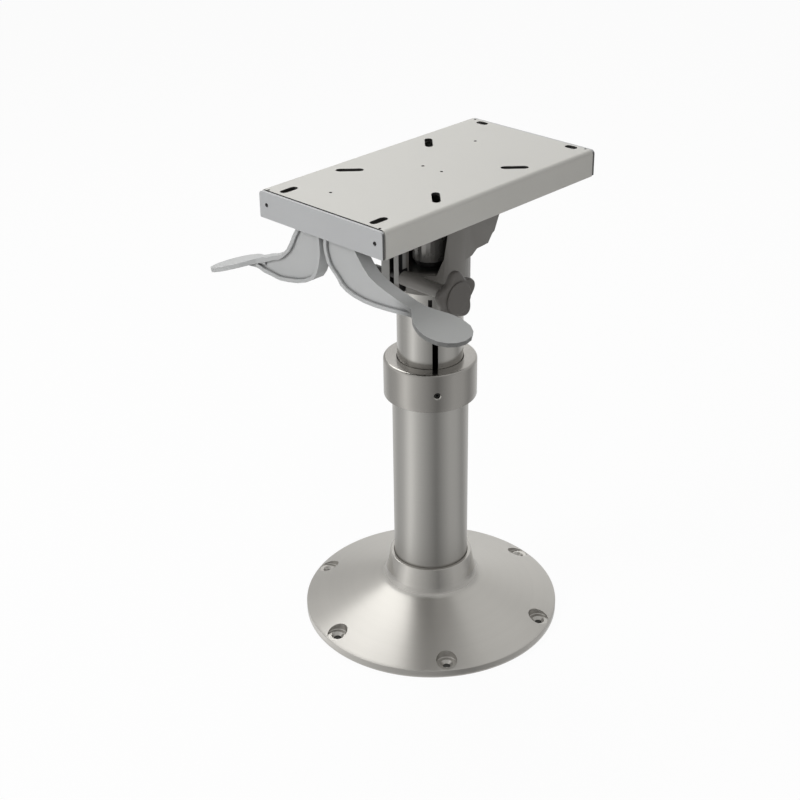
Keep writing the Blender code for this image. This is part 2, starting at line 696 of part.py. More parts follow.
def key_bore_tool():
    """Radial hole for the key screw through collar, tube and bush."""
    tool = link_tool("key_bore", rod_mesh("key_bore", KEY_BORE, "X", (0, KEY_HEIGHT),
                                          INNER_BORE, COLLAR_RADIUS * 1.1))
    face_outwards(tool, KEY_AZIMUTH)
    return tool


def outer_tube():
    """Fixed tube, standing on the socket floor and reaching to the collar's lip."""
    tube = turned("outer_tube", tube_profile(
        OUTER_BORE, OUTER_TUBE_RADIUS, FLOOR_THICKNESS + SEAT,
        UPPER_BUSH_TOP), TUBE_ALUMINIUM)
    cut(tube, key_bore_tool())
    return tube


def height_collar():
    """Collar over the top of the fixed tube, with a lip that guides the inner tube."""
    ledge = COLLAR_LEDGE
    edge = 0.0008
    profile = [(GUIDE_INSIDE + edge, COLLAR_TOP)]
    profile += corner_fillet((0, COLLAR_TOP), (COLLAR_RADIUS, COLLAR_TOP),
                             (COLLAR_RADIUS, COLLAR_BOTTOM), COLLAR_EDGE, 2)
    profile += [(COLLAR_RADIUS, COLLAR_BOTTOM), (TUBE_SOCKET, COLLAR_BOTTOM), (TUBE_SOCKET, ledge), (GUIDE_INSIDE, ledge),
                (GUIDE_INSIDE, COLLAR_TOP - edge)]
    collar = turned("height_collar", profile, SPUN_ALUMINIUM)
    cut(collar, key_bore_tool())
    return collar


def collar_key_screw():
    """Socket set screw whose plain tip runs in the inner tube's key slot."""
    head = COLLAR_RADIUS - KEY_RECESS
    tip = INNER_TUBE_RADIUS - TUBE_WALL * 0.6
    screw = link_part("collar_key_screw", rod_mesh(
        "collar_key_screw", KEY_RADIUS, "X", (0, KEY_HEIGHT), tip, head), BLACK_STEEL)
    face_outwards(screw, KEY_AZIMUTH)
    socket = link_tool("key_socket", rod_mesh(
        "key_socket", KEY_RADIUS * 0.58, "X", (0, KEY_HEIGHT), head - KEY_RADIUS, head + SEAT,
        steps=6))
    face_outwards(socket, KEY_AZIMUTH)
    cut(screw, socket)
    return screw


def upper_guide_bush():
    """Plastic bush between the two tubes, under the collar's lip."""
    bush = turned("upper_guide_bush", tube_profile(
        GUIDE_INSIDE, GUIDE_OUTSIDE, UPPER_BUSH_BOTTOM, UPPER_BUSH_TOP), SHOE_PLASTIC)
    cut(bush, key_bore_tool())
    return bush


def gas_spring_cylinder():
    """Pressure tube of the gas spring, standing on the socket floor."""
    inside = GAS_CYLINDER_RADIUS - GAS_CYLINDER_WALL
    bottom = GAS_CYLINDER_BOTTOM
    profile = [(0, bottom + GAS_CYLINDER_WALL), (inside, bottom + GAS_CYLINDER_WALL),
               (inside, GAS_CYLINDER_TOP), (GAS_CYLINDER_RADIUS, GAS_CYLINDER_TOP),
               (GAS_CYLINDER_RADIUS, bottom), (0, bottom)]
    return turned("gas_spring_cylinder", profile, BLACK_STEEL, BUSH)


def gas_spring_guide():
    """Rod guide in the mouth of the gas spring."""
    outside = GAS_CYLINDER_RADIUS - GAS_CYLINDER_WALL - SEAT
    lip = GAS_CYLINDER_TOP + SEAT
    profile = [(GAS_CYLINDER_RADIUS, lip + GAS_CYLINDER_WALL), (GAS_CYLINDER_RADIUS, lip),
               (outside, lip), (outside, lip - GAS_GUIDE_LENGTH),
               (GAS_ROD_RADIUS + RUN, lip - GAS_GUIDE_LENGTH),
               (GAS_ROD_RADIUS + RUN, lip + GAS_CYLINDER_WALL)]
    return turned("gas_spring_guide", profile, ZINC_STEEL, BUSH)


# Telescoping post

SPINDLE_BOTTOM = INNER_TUBE_TOP - SPINDLE_PLUG_LENGTH
GAS_ROD_TOP = SPINDLE_BOTTOM + 0.008
SHOULDER_BOTTOM = INNER_TUBE_TOP + SEAT
SHOULDER_TOP = SHOULDER_BOTTOM + SPINDLE_SHOULDER
THRUST_BOTTOM = SHOULDER_TOP + SEAT
SLEEVE_BOTTOM = THRUST_BOTTOM + THRUST_THICKNESS + SEAT
SLEEVE_TOP = FLANGE_BOTTOM + SLEEVE_INTO_FLANGE
TOP_WASHER_BOTTOM = SLEEVE_TOP + SEAT
NUT_BOTTOM = TOP_WASHER_BOTTOM + TOP_WASHER_THICKNESS + SEAT
NUT_TOP = NUT_BOTTOM + SPINDLE_NUT_HEIGHT
NOSE_CENTRE = ROD_HEIGHT - CRANK_NOSE_DROP
PUSH_ROD_TOP = NOSE_CENTRE - CRANK_NOSE_RADIUS - SEAT
PUSH_ROD_BOTTOM = GAS_ROD_TOP - 0.0034


def inner_tube():
    """Polished tube with the key slot that runs on the collar's screw."""
    tube = turned("inner_tube", tube_profile(
        INNER_BORE, INNER_TUBE_RADIUS, INNER_TUBE_BOTTOM, INNER_TUBE_TOP), POLISHED_TUBE, FINE)
    low = KEY_HEIGHT - TRAVEL_UP - KEY_BORE
    high = KEY_HEIGHT + TRAVEL_DOWN + KEY_BORE
    outside = INNER_TUBE_RADIUS * 1.1
    key_slot = link_tool("key_slot", extruded_mesh(
        "key_slot", [slot((0, (low + high) / 2), (high - low, 2 * KEY_BORE), math.pi / 2)],
        "X", INNER_BORE * 0.8, outside))
    face_outwards(key_slot, KEY_AZIMUTH)
    middle = INNER_TUBE_TOP - WINDOW_DROP
    window = link_tool("tube_window", box_mesh(
        "tube_window", (INNER_BORE * 0.8, -WINDOW_WIDTH / 2, middle - WINDOW_HEIGHT / 2),
        (outside, WINDOW_WIDTH / 2, middle + WINDOW_HEIGHT / 2)))
    face_outwards(window, WINDOW_AZIMUTH)
    cut(tube, key_slot, window)
    return tube


def lower_guide_ring():
    """Plastic ring clipped under the foot of the inner tube."""
    low = INNER_TUBE_BOTTOM - SEAT
    profile = [(GUIDE_OUTSIDE, low + LOWER_GUIDE_LENGTH), (GUIDE_OUTSIDE, low - TUBE_WALL),
               (INNER_BORE, low - TUBE_WALL), (INNER_BORE, low), (GUIDE_INSIDE, low),
               (GUIDE_INSIDE, low + LOWER_GUIDE_LENGTH)]
    return turned("lower_guide_ring", profile, SHOE_PLASTIC)


def gas_spring_rod():
    """Piston and rod in one turned piece, hollow at the top for the release pin."""
    piston = GAS_CYLINDER_RADIUS - GAS_CYLINDER_WALL - RUN
    socket = PUSH_ROD_RADIUS + RUN
    floor = PUSH_ROD_BOTTOM - PUSH_ROD_STROKE - SEAT
    profile = [(0, floor), (socket, floor), (socket, GAS_ROD_TOP), (GAS_ROD_RADIUS, GAS_ROD_TOP),
               (GAS_ROD_RADIUS, GAS_ROD_BOTTOM + GAS_PISTON_LENGTH),
               (piston, GAS_ROD_BOTTOM + GAS_PISTON_LENGTH), (piston, GAS_ROD_BOTTOM),
               (0, GAS_ROD_BOTTOM)]
    return turned("gas_spring_rod", profile, BRIGHT_STEEL, SMALL)


def swivel_spindle():
    """Plug in the top of the inner tube with the swivel journal turned on it."""
    plug = INNER_BORE - SEAT
    bore = PUSH_ROD_RADIUS + RUN
    rod_seat = GAS_ROD_RADIUS + SEAT
    edge = 0.0005
    profile = [(SPINDLE_RADIUS - edge, NUT_TOP + edge), (SPINDLE_RADIUS, NUT_TOP),
               (SPINDLE_RADIUS, SHOULDER_TOP), (INNER_TUBE_RADIUS, SHOULDER_TOP),
               (INNER_TUBE_RADIUS, SHOULDER_BOTTOM), (plug, SHOULDER_BOTTOM),
               (plug, SPINDLE_BOTTOM), (rod_seat, SPINDLE_BOTTOM),
               (rod_seat, GAS_ROD_TOP + SEAT), (bore, GAS_ROD_TOP + SEAT),
               (bore, NUT_TOP + edge)]
    return turned("swivel_spindle", profile, BRIGHT_STEEL, BUSH)


def thrust_bearing():
    """Thrust ring between the spindle's shoulder and the head's sleeve."""
    return turned("thrust_bearing", tube_profile(
        SPINDLE_RADIUS + RUN, THRUST_RADIUS, THRUST_BOTTOM, THRUST_BOTTOM + THRUST_THICKNESS),
        BLACK_STEEL, BUSH)


def spindle_washer():
    """Washer under the spindle nut."""
    return turned("spindle_washer", tube_profile(
        SPINDLE_RADIUS + SEAT, SLEEVE_RADIUS - SEAT, TOP_WASHER_BOTTOM,
        TOP_WASHER_BOTTOM + TOP_WASHER_THICKNESS), ZINC_STEEL, BUSH)


def spindle_nut():
    """Thin hexagon nut that keeps the head on the spindle."""
    hexagon = circle((0, 0), SPINDLE_NUT_RADIUS + SEAT + 0.002, 6)
    bore = circle((0, 0), SPINDLE_RADIUS + SEAT, BUSH)
    return link_part("spindle_nut", extruded_mesh(
        "spindle_nut", [hexagon, bore], "Z", NUT_BOTTOM, NUT_TOP), ZINC_STEEL)


def release_push_rod():
    """Rod down the middle of the spindle that opens the gas spring's valve."""
    return link_part("release_push_rod", rod_mesh(
        "release_push_rod", PUSH_ROD_RADIUS, "Z", (0, 0), PUSH_ROD_BOTTOM, PUSH_ROD_TOP),
        BRIGHT_STEEL)


# Swivel head

def gusset_outline():
    """Side view (y, z) of the wing that carries the back of the head's flange."""
    edge = [(HEAD_FLANGE_REAR * reach, RING_BOTTOM + HEAD_HEIGHT * rise)
            for reach, rise in GUSSET_PROFILE]
    return [(0.0, RING_TOP + GUSSET_RISE), *edge,
            (HEAD_FLANGE_REAR * GUSSET_REACH, FLANGE_BOTTOM + SEAT), (0.0, FLANGE_BOTTOM + SEAT)]


def swivel_head():
    """Cast head: split clamp ring, round body open at the front, wings and top flange."""
    inner = HEAD_RADIUS - HEAD_WALL
    overlap = 0.001
    profile = [(HEAD_RADIUS, FLANGE_BOTTOM + overlap), (HEAD_RADIUS, RING_BOTTOM),
               (INNER_BORE, RING_BOTTOM), (INNER_BORE, RING_TOP), (inner, RING_TOP),
               (inner, FLANGE_BOTTOM + overlap)]
    head = turned("swivel_head", profile, GREY_PAINT)
    boss_low = FLANGE_BOTTOM - SLEEVE_BOSS_DEPTH

    right_side = [(HEAD_RADIUS - inset_by, RING_TOP + (HEAD_TOP - RING_TOP) * rise)
                  for rise, inset_by in WINDOW_CHEEKS]
    opening = right_side + [(-x, z) for x, z in reversed(right_side)]
    cut(head, link_tool("head_window", extruded_mesh(
        "head_window", [opening], "Y", -HEAD_RADIUS * 1.2, WINDOW_BACK)))

    flange = rounded_rectangle((-HEAD_FLANGE_HALF_WIDTH, HEAD_FLANGE_FRONT),
                               (HEAD_FLANGE_HALF_WIDTH, HEAD_FLANGE_REAR), 0.010, 4)
    join(head, link_tool("head_flange", extruded_mesh(
        "head_flange", [flange], "Z", FLANGE_BOTTOM, HEAD_TOP)))
    join(head, link_tool("sleeve_boss", rod_mesh(
        "sleeve_boss", SLEEVE_BOSS_RADIUS, "Z", (0, 0), boss_low, FLANGE_BOTTOM + overlap, 36)))

    outside = HEAD_RADIUS - 0.0012
    for side in (-1, 1):
        ends = sorted((side * outside, side * (outside - GUSSET_THICKNESS)))
        join(head, link_tool("head_wing", extruded_mesh(
            "head_wing", [gusset_outline()], "X", *ends)))

    beside_split = SPLIT_GAP / 2 - SEAT
    ear_right = SPLIT_X - beside_split
    boss_left = SPLIT_X + beside_split
    ear_left = ear_right - COLUMN_WIDTH
    column = box_mesh("head_column", (ear_left, -COLUMN_FRONT, CLAMP_HEIGHT),
                      (ear_right, COLUMN_DEPTH - COLUMN_FRONT, FLANGE_BOTTOM + overlap))
    ear = rod_mesh("head_ear", EAR_RADIUS, "X", (-CLAMP_FORWARD, CLAMP_HEIGHT),
                   ear_left, ear_right, BUSH)
    boss = rod_mesh("clamp_boss", CLAMP_BOSS_RADIUS, "X", (-CLAMP_FORWARD, CLAMP_HEIGHT),
                    boss_left, CLAMP_BOSS_END, BUSH)
    web = box_mesh("clamp_web", (boss_left, -CLAMP_FORWARD, CLAMP_HEIGHT - CLAMP_BOSS_RADIUS * 0.7),
                   (HEAD_RADIUS * 0.6, -HEAD_RADIUS * 0.7, RING_TOP - SEAT))
    join(head, *(link_tool(mesh.name, mesh) for mesh in (column, ear, boss, web)))

    slot_left = ear_left + COLUMN_SLOT_INSET
    slot_low = RING_BOTTOM + 0.004
    column_slot = box_mesh("column_slot", (slot_left, -COLUMN_FRONT * 1.1, slot_low),
                           (slot_left + COLUMN_SLOT_WIDTH, COLUMN_DEPTH - COLUMN_FRONT - 0.004,
                            slot_low + COLUMN_SLOT_HEIGHT))
    split = box_mesh("ring_split", (SPLIT_X - SPLIT_GAP / 2, -HEAD_RADIUS * 1.3, RING_BOTTOM - overlap),
                     (SPLIT_X + SPLIT_GAP / 2, -INNER_BORE * 0.9, RING_TOP + overlap))
    bore = rod_mesh("ring_bore", GUIDE_INSIDE, "Z", (0, 0), RING_BOTTOM - overlap,
                    RING_TOP + overlap, ROUND)
    stud_bore = rod_mesh("stud_bore", STUD_RADIUS + RUN, "X", (-CLAMP_FORWARD, CLAMP_HEIGHT),
                         ear_left - overlap, CLAMP_BOSS_END + overlap)
    sleeve_bore = rod_mesh("sleeve_bore", SLEEVE_RADIUS + SEAT, "Z", (0, 0),
                           boss_low - overlap, HEAD_TOP + overlap, 36)
    cut(head, *(link_tool(mesh.name, mesh)
                for mesh in (bore, column_slot, split, stud_bore, sleeve_bore)))
    for x in (-HEAD_BOLT_X, HEAD_BOLT_X):
        for y in HEAD_BOLT_Y:
            hole = rod_mesh("head_bolt_hole", HEAD_BOLT_RADIUS + SEAT, "Z", (x, y),
                            FLANGE_BOTTOM - overlap, HEAD_TOP + overlap, 12)
            cut(head, link_tool(hole.name, hole))
    return head


def spindle_sleeve():
    """Bright steel sleeve pressed into the head's flange, over the spindle."""
    return turned("spindle_sleeve", tube_profile(
        SPINDLE_RADIUS + RUN + BUSH_WALL + SEAT, SLEEVE_RADIUS, SLEEVE_BOTTOM, SLEEVE_TOP),
        BRIGHT_STEEL, BUSH)


def swivel_bush():
    """Plain bearing bush between sleeve and spindle."""
    return turned("swivel_bush", tube_profile(
        SPINDLE_RADIUS + RUN, SPINDLE_RADIUS + RUN + BUSH_WALL, SLEEVE_BOTTOM, SLEEVE_TOP),
        SHOE_PLASTIC, BUSH)


def clamp_stud():
    """Threaded stud from the head's left ear to the star knob."""
    left = SPLIT_X - SPLIT_GAP / 2 - COLUMN_WIDTH + 0.002
    right = KNOB_FACE - 0.004
    return link_part("clamp_stud", rod_mesh(
        "clamp_stud", STUD_RADIUS, "X", (-CLAMP_FORWARD, CLAMP_HEIGHT), left, right), ZINC_STEEL)


WASHER_LEFT = CLAMP_BOSS_END + SEAT
KNOB_BACK = WASHER_LEFT + KNOB_WASHER_THICKNESS + SEAT
KNOB_LOBES_BACK = KNOB_BACK + KNOB_HUB_LENGTH
KNOB_FACE = KNOB_LOBES_BACK + KNOB_THICKNESS


def knob_washer():
    """Washer between the clamp boss and the knob."""
    outline = [circle((-CLAMP_FORWARD, CLAMP_HEIGHT), KNOB_WASHER_RADIUS, BUSH),
               circle((-CLAMP_FORWARD, CLAMP_HEIGHT), STUD_RADIUS + RUN, SMALL)]
    return link_part("knob_washer", extruded_mesh(
        "knob_washer", outline, "X", WASHER_LEFT, WASHER_LEFT + KNOB_WASHER_THICKNESS),
        ZINC_STEEL)


def star_knob():
    """Moulded five-lobed knob on the clamp stud."""
    mean = (KNOB_LOBE_RADIUS + KNOB_WAIST_RADIUS) / 2
    swing = (KNOB_LOBE_RADIUS - KNOB_WAIST_RADIUS) / 2
    outline = []
    for step in range(KNOB_LOBES * KNOB_LOBE_STEPS):
        angle = math.tau * step / (KNOB_LOBES * KNOB_LOBE_STEPS)
        radius = mean + swing * math.cos(KNOB_LOBES * (angle - KNOB_TURN))
        outline.append((radius * math.cos(angle), radius * math.sin(angle)))
    knob = link_part("star_knob", extruded_mesh(
        "star_knob", [outline], "X", KNOB_LOBES_BACK, KNOB_FACE), KNOB_PLASTIC)
    knob.location = (0, -CLAMP_FORWARD, CLAMP_HEIGHT)
    soften(knob, KNOB_THICKNESS * 0.4, 2)
    axis = (-CLAMP_FORWARD, CLAMP_HEIGHT)
    hub = rod_mesh("knob_hub", KNOB_HUB_RADIUS, "X", axis, KNOB_BACK, KNOB_LOBES_BACK + 0.001, BUSH)
    join(knob, link_tool("knob_hub", hub))
    bore = rod_mesh("knob_bore", STUD_RADIUS + SEAT, "X", axis, KNOB_BACK - 0.001,
                    KNOB_FACE + 0.001)
    cut(knob, link_tool("knob_bore", bore))
    return knob


def knob_cap():
    """Round cap pressed on the face of the knob."""
    face = KNOB_FACE + SEAT
    edge = KNOB_CAP_HEIGHT * 0.5
    profile = [(0, KNOB_CAP_HEIGHT), (KNOB_CAP_RADIUS * 0.6, KNOB_CAP_HEIGHT * 0.92),
               (KNOB_CAP_RADIUS - edge, KNOB_CAP_HEIGHT * 0.75), (KNOB_CAP_RADIUS, edge),
               (KNOB_CAP_RADIUS, 0), (0, 0)]
    cap = turned("knob_cap", profile, KNOB_PLASTIC, BUSH)
    cap.rotation_euler = (0, math.pi / 2, 0)
    cap.location = (face, -CLAMP_FORWARD, CLAMP_HEIGHT)
    return cap


# Slide carriage, fixed on the head

def slide_carriage():
    """Pressed plate bolted on the head, with a row of lock holes and a front notch."""
    half_width = CARRIAGE_EDGE
    half_length = CARRIAGE_LENGTH / 2
    notch = CARRIAGE_EDGE - CARRIAGE_ARM
    chamfer = 0.006
    outline = [(half_width, -half_length), (half_width, half_length - chamfer),
               (half_width - chamfer, half_length), (-half_width + chamfer, half_length),
               (-half_width, half_length - chamfer), (-half_width, -half_length),
               (-notch - chamfer, -half_length), (-notch, -half_length + chamfer),
               (-notch, NOTCH_END), (notch, NOTCH_END), (notch, -half_length + chamfer),
               (notch + chamfer, -half_length)]
    loops = [outline, circle((0, 0), CARRIAGE_BORE, BUSH)]
    for x in (-HEAD_BOLT_X, HEAD_BOLT_X):
        for y in HEAD_BOLT_Y:
            loops.append(circle((x, y), HEAD_BOLT_RADIUS + SEAT, 12))
    for index in range(LOCK_HOLE_COUNT):
        x = ROD_X + FINGER_REACH
        y = LOCK_HOLE_FIRST + LOCK_PITCH * index
        loops.append(rectangle((x - LOCK_HOLE[0] / 2, y - LOCK_HOLE[1] / 2),
                               (x + LOCK_HOLE[0] / 2, y + LOCK_HOLE[1] / 2)))
    return link_part("slide_carriage", extruded_mesh(
        "slide_carriage", loops, "Z", CARRIAGE_BOTTOM, CARRIAGE_TOP), ZINC_STEEL)


def carriage_bolt(name, x, y):
    """Hexagon bolt that holds the carriage on the head."""
    head_low = CARRIAGE_TOP + SEAT
    bolt = link_part(name, rod_mesh(name, HEAD_BOLT_RADIUS, "Z", (x, y), FLANGE_BOTTOM + 0.001,
                                    head_low + 0.001, 12), ZINC_STEEL)
    head = rod_mesh("bolt_head", HEAD_BOLT_HEAD, "Z", (x, y), head_low,
                    head_low + HEAD_BOLT_HEAD_HEIGHT, 6)
    join(bolt, link_tool("bolt_head", head))
    return bolt


def slide_shoe(name, side, end):
    """Plastic shoe clipped on a carriage edge. It runs in the seat plate's track."""
    outer = PLATE_WIDTH / 2 - PLATE_SIDE_WALL - RUN
    edge = CARRIAGE_EDGE
    inner = edge - SHOE_LAP
    mouth = CARRIAGE_BOTTOM - SEAT
    roof = CARRIAGE_TOP + SEAT
    outline = [(inner, SHOE_BOTTOM), (outer, SHOE_BOTTOM), (outer, SHOE_TOP), (inner, SHOE_TOP),
               (inner, roof), (edge + SEAT, roof), (edge + SEAT, mouth), (inner, mouth)]
    outline = [(side * x, z) for x, z in outline]
    far = end * CARRIAGE_LENGTH / 2
    ends = sorted((far, far - end * SHOE_LENGTH))
    return link_part(name, extruded_mesh(name, [outline], "Y", *ends), SHOE_PLASTIC)


def crank_bracket():
    """Two ears on the carriage that carry the release crank."""
    floor = CARRIAGE_TOP + SEAT
    sheet = CRANK_EAR_THICKNESS * 0.6
    half = CRANK_EAR_RADIUS
    left = -ROD_X - half
    base = box_mesh("crank_base", (left - 0.007, -CRANK_EAR_Y - CRANK_EAR_THICKNESS, floor),
                    (-ROD_X + 0.0035, CRANK_EAR_Y + CRANK_EAR_THICKNESS, floor + sheet))
    bracket = link_part("crank_bracket", base, ZINC_STEEL)
    ear = [(left, floor + sheet / 2), (-ROD_X + 0.0035, floor + sheet / 2),
           (-ROD_X + half * 0.95, ROD_HEIGHT - half * 0.3)]
    ear += arc((-ROD_X, ROD_HEIGHT), half, 0, 180, 6)
    for side in (-1, 1):
        ends = sorted((side * (CRANK_EAR_Y - CRANK_EAR_THICKNESS / 2),
                       side * (CRANK_EAR_Y + CRANK_EAR_THICKNESS / 2)))
        join(bracket, link_tool("crank_ear", extruded_mesh("crank_ear", [ear], "Y", *ends)))
    cut(bracket, link_tool("crank_ear_bore", rod_mesh(
        "crank_ear_bore", CRANK_HUB_RADIUS + RUN, "Y", (-ROD_X, ROD_HEIGHT),
        -CRANK_EAR_Y * 2, CRANK_EAR_Y * 2)))
    return bracket


def square_bore(name, parent, low, high):
    """Square hole for a release rod, in the rod's own frame."""
    half = ROD_SIDE / 2 + RUN
    return link_tool(name, box_mesh(name, (-half, low, -half), (half, high, half)), parent)


def release_crank():
    """Crank that turns with the left rod and pushes the release rod down."""
    crank = link_part("release_crank", rod_mesh(
        "release_crank", CRANK_HUB_RADIUS, "Y", (0, 0), -CRANK_HUB_LENGTH / 2,
        CRANK_HUB_LENGTH / 2, SMALL), ZINC_STEEL)
    crank.location = (-ROD_X, 0, ROD_HEIGHT)
    nose = (ROD_X, -CRANK_NOSE_DROP)
    arm = [(0.0, -CRANK_HUB_RADIUS * 0.95)]
    arm += arc(nose, CRANK_NOSE_RADIUS, -95, 85, 8)
    arm += [(0.0, CRANK_HUB_RADIUS * 0.95)]
    join(crank, link_tool("crank_arm", extruded_mesh(
        "crank_arm", [arm], "Y", -CRANK_ARM_THICKNESS / 2, CRANK_ARM_THICKNESS / 2), crank))
    cut(crank, square_bore("crank_square", crank, -CRANK_HUB_LENGTH, CRANK_HUB_LENGTH))
    return crank


# Seat plate

def plate_side(side):
    """Half of the outside of the plate's section, from the top down, on one side."""
    half = PLATE_WIDTH / 2
    small = 0.001
    points = corner_fillet((0, SEAT_HEIGHT), (half, SEAT_HEIGHT), (half, PLATE_BOTTOM),
                           PLATE_CORNER, 5)
    points += corner_fillet((half, SEAT_HEIGHT), (half, PLATE_BOTTOM), (0, PLATE_BOTTOM),
                            small, 2)
    return [(side * x, z) for x, z in points]


def seat_plate():
    """Extruded channel with a running track and a screw port along each side."""
    inner = PLATE_WIDTH / 2 - PLATE_SIDE_WALL
    port = (CAP_SCREW_X, CAP_SCREW_Z)
    inside = [(PLATE_WIDTH / 2 - PLATE_SIDE_WALL - LIP_WIDTH, PLATE_BOTTOM),
              (PLATE_WIDTH / 2 - PLATE_SIDE_WALL - LIP_WIDTH, TRACK_FLOOR),
              (inner, TRACK_FLOOR), (inner, PORT_BOTTOM)]
    inside += arc(port, PORT_RADIUS, 270, 90, 6)
    inside += [(inner, port[1] + PORT_RADIUS), (inner, PLATE_UNDERSIDE)]
    right = plate_side(1) + inside
    left = [(-x, z) for x, z in right]
    loops = [right + left[::-1]]
    loops += [circle((side * port[0], port[1]), CAP_SCREW_RADIUS + SEAT, 8) for side in (-1, 1)]
    plate = link_part("seat_plate", extruded_mesh(
        "seat_plate", loops, "Y", CHANNEL_FRONT, CHANNEL_REAR), PLATE_PAINT)

    low, high = PLATE_UNDERSIDE - PLATE_TOP_WALL, SEAT_HEIGHT + PLATE_TOP_WALL
    half = PLATE_WIDTH / 2
    corner_x = half - CORNER_HOLE_INSET[0]
    corner_y = PLATE_LENGTH / 2 - CORNER_HOLE_INSET[1]
    holes = []
    for side_x in (-1, 1):
        for side_y in (-1, 1):
            holes.append(slot((side_x * (half - DIAGONAL_SLOT_INSET),
                               PLATE_SHIFT + side_y * DIAGONAL_SLOT_Y),
                              DIAGONAL_SLOT, side_x * side_y * math.pi / 4))
            holes.append(circle((side_x * corner_x, PLATE_SHIFT + side_y * corner_y),
                                CORNER_HOLE_RADIUS, 8))
        end_slot_x = side_x * (half - END_SLOT_INSET)
        holes.append(slot((end_slot_x, PLATE_FRONT + FRONT_SLOT_INSET), FRONT_SLOT, math.pi / 2))
        holes.append(slot((end_slot_x, PLATE_REAR - REAR_SLOT_INSET), REAR_SLOT))
        holes.append(circle((side_x * CENTRE_HOLE_X, PLATE_SHIFT), RIVET_HOLE_RADIUS, 8))
    for y in (PLATE_FRONT + RIVET_HOLE_INSETS[0], PLATE_REAR - RIVET_HOLE_INSETS[1]):
        holes.append(circle((-RIVET_HOLE_X, y), RIVET_HOLE_RADIUS, 8))
    cut(plate, link_tool("plate_holes", extruded_mesh("plate_holes", holes, "Z", low, high)))
    return plate


def end_cap(name, outside, inwards):
    """Flat cap screwed on one end of the channel."""
    outline = inset(plate_side(1) + plate_side(-1)[::-1], CAP_STEP)
    ends = sorted((outside, outside + inwards * CAP_THICKNESS))
    cap = link_part(name, extruded_mesh(name, [outline], "Y", *ends), PLATE_PAINT)
    for side in (-1, 1):
        place = (side * CAP_SCREW_X, CAP_SCREW_Z)
        hole = rod_mesh("cap_screw_hole", CAP_SCREW_HEAD + SEAT, "Y", place, ends[0] - 0.001,
                        ends[1] + 0.001, 12)
        cut(cap, link_tool(hole.name, hole))
    return cap


def cap_screw(name, side, outside, inwards):
    """Screw that holds an end cap, in the screw port at one side."""
    recess = 0.0006
    head_end = CAP_THICKNESS + CAP_SEAM / 2
    place = (side * CAP_SCREW_X, CAP_SCREW_Z)
    head_ends = sorted((outside + inwards * recess, outside + inwards * head_end))
    shank_ends = sorted((outside + inwards * (head_end - 0.0005),
                         outside + inwards * (head_end + CAP_SCREW_LENGTH)))
    screw = link_part(name, rod_mesh(name, CAP_SCREW_HEAD, "Y", place, *head_ends, 12),
                      BRIGHT_STEEL)
    join(screw, link_tool("cap_screw_shank", rod_mesh(
        "cap_screw_shank", CAP_SCREW_RADIUS, "Y", place, *shank_ends, 8)))
    return screw


# Levers

def lever_outline(side):
    """Arm of a lever (x outwards, z up) about its hinge, before it is mirrored."""
    top_right = (LEVER_HUB_RADIUS * 0.9, -LEVER_HUB_RADIUS * 0.4)
    top_left = (-LEVER_HUB_RADIUS * 0.9, -LEVER_HUB_RADIUS * 0.4)
    root = (LEVER_ROOT[0], LEVER_ROOT[1] - LEVER_ROOT_SINK)
    lower = [top_left, *(LEFT_LEVER_LOWER if side < 0 else RIGHT_LEVER_LOWER)]
    upper = [root, *(LEFT_LEVER_UPPER if side < 0 else RIGHT_LEVER_UPPER), top_right]
    hub = arc((0, 0), LEVER_HUB_RADIUS, 10, 170, 5)
    return curve_through(lower, LEVER_STEPS) + curve_through(upper, LEVER_STEPS) + hub


def paddle_outline(middle):
    """Plan of the paddle (distance along it, y) with its round end."""
    front = middle - LEVER_DEPTH / 2 + LEVER_HUB_SINK
    back = middle + LEVER_DEPTH / 2 - LEVER_HUB_SINK
    wide = PADDLE_END_RADIUS
    centre = middle - PADDLE_SHIFT
    start, half, full = PADDLE_NECK
    near = curve_through([(-PADDLE_ROOT, front), (start, front - LEVER_HUB_SINK * 2),
                          (half, centre - wide * 0.62), (full, centre - wide * 0.95),
                          (PADDLE_REACH, centre - wide)], 2)
    far = curve_through([(PADDLE_REACH, centre + wide), (full, centre + wide * 0.98),
                         (half + LEVER_HUB_SINK * 6, centre + wide * 0.80),
                         (start + LEVER_HUB_SINK * 4, back + LEVER_HUB_SINK),
                         (-PADDLE_ROOT, back)], 2)
    return near + arc((PADDLE_REACH, centre), wide, -90, 90, 8)[1:-1] + far


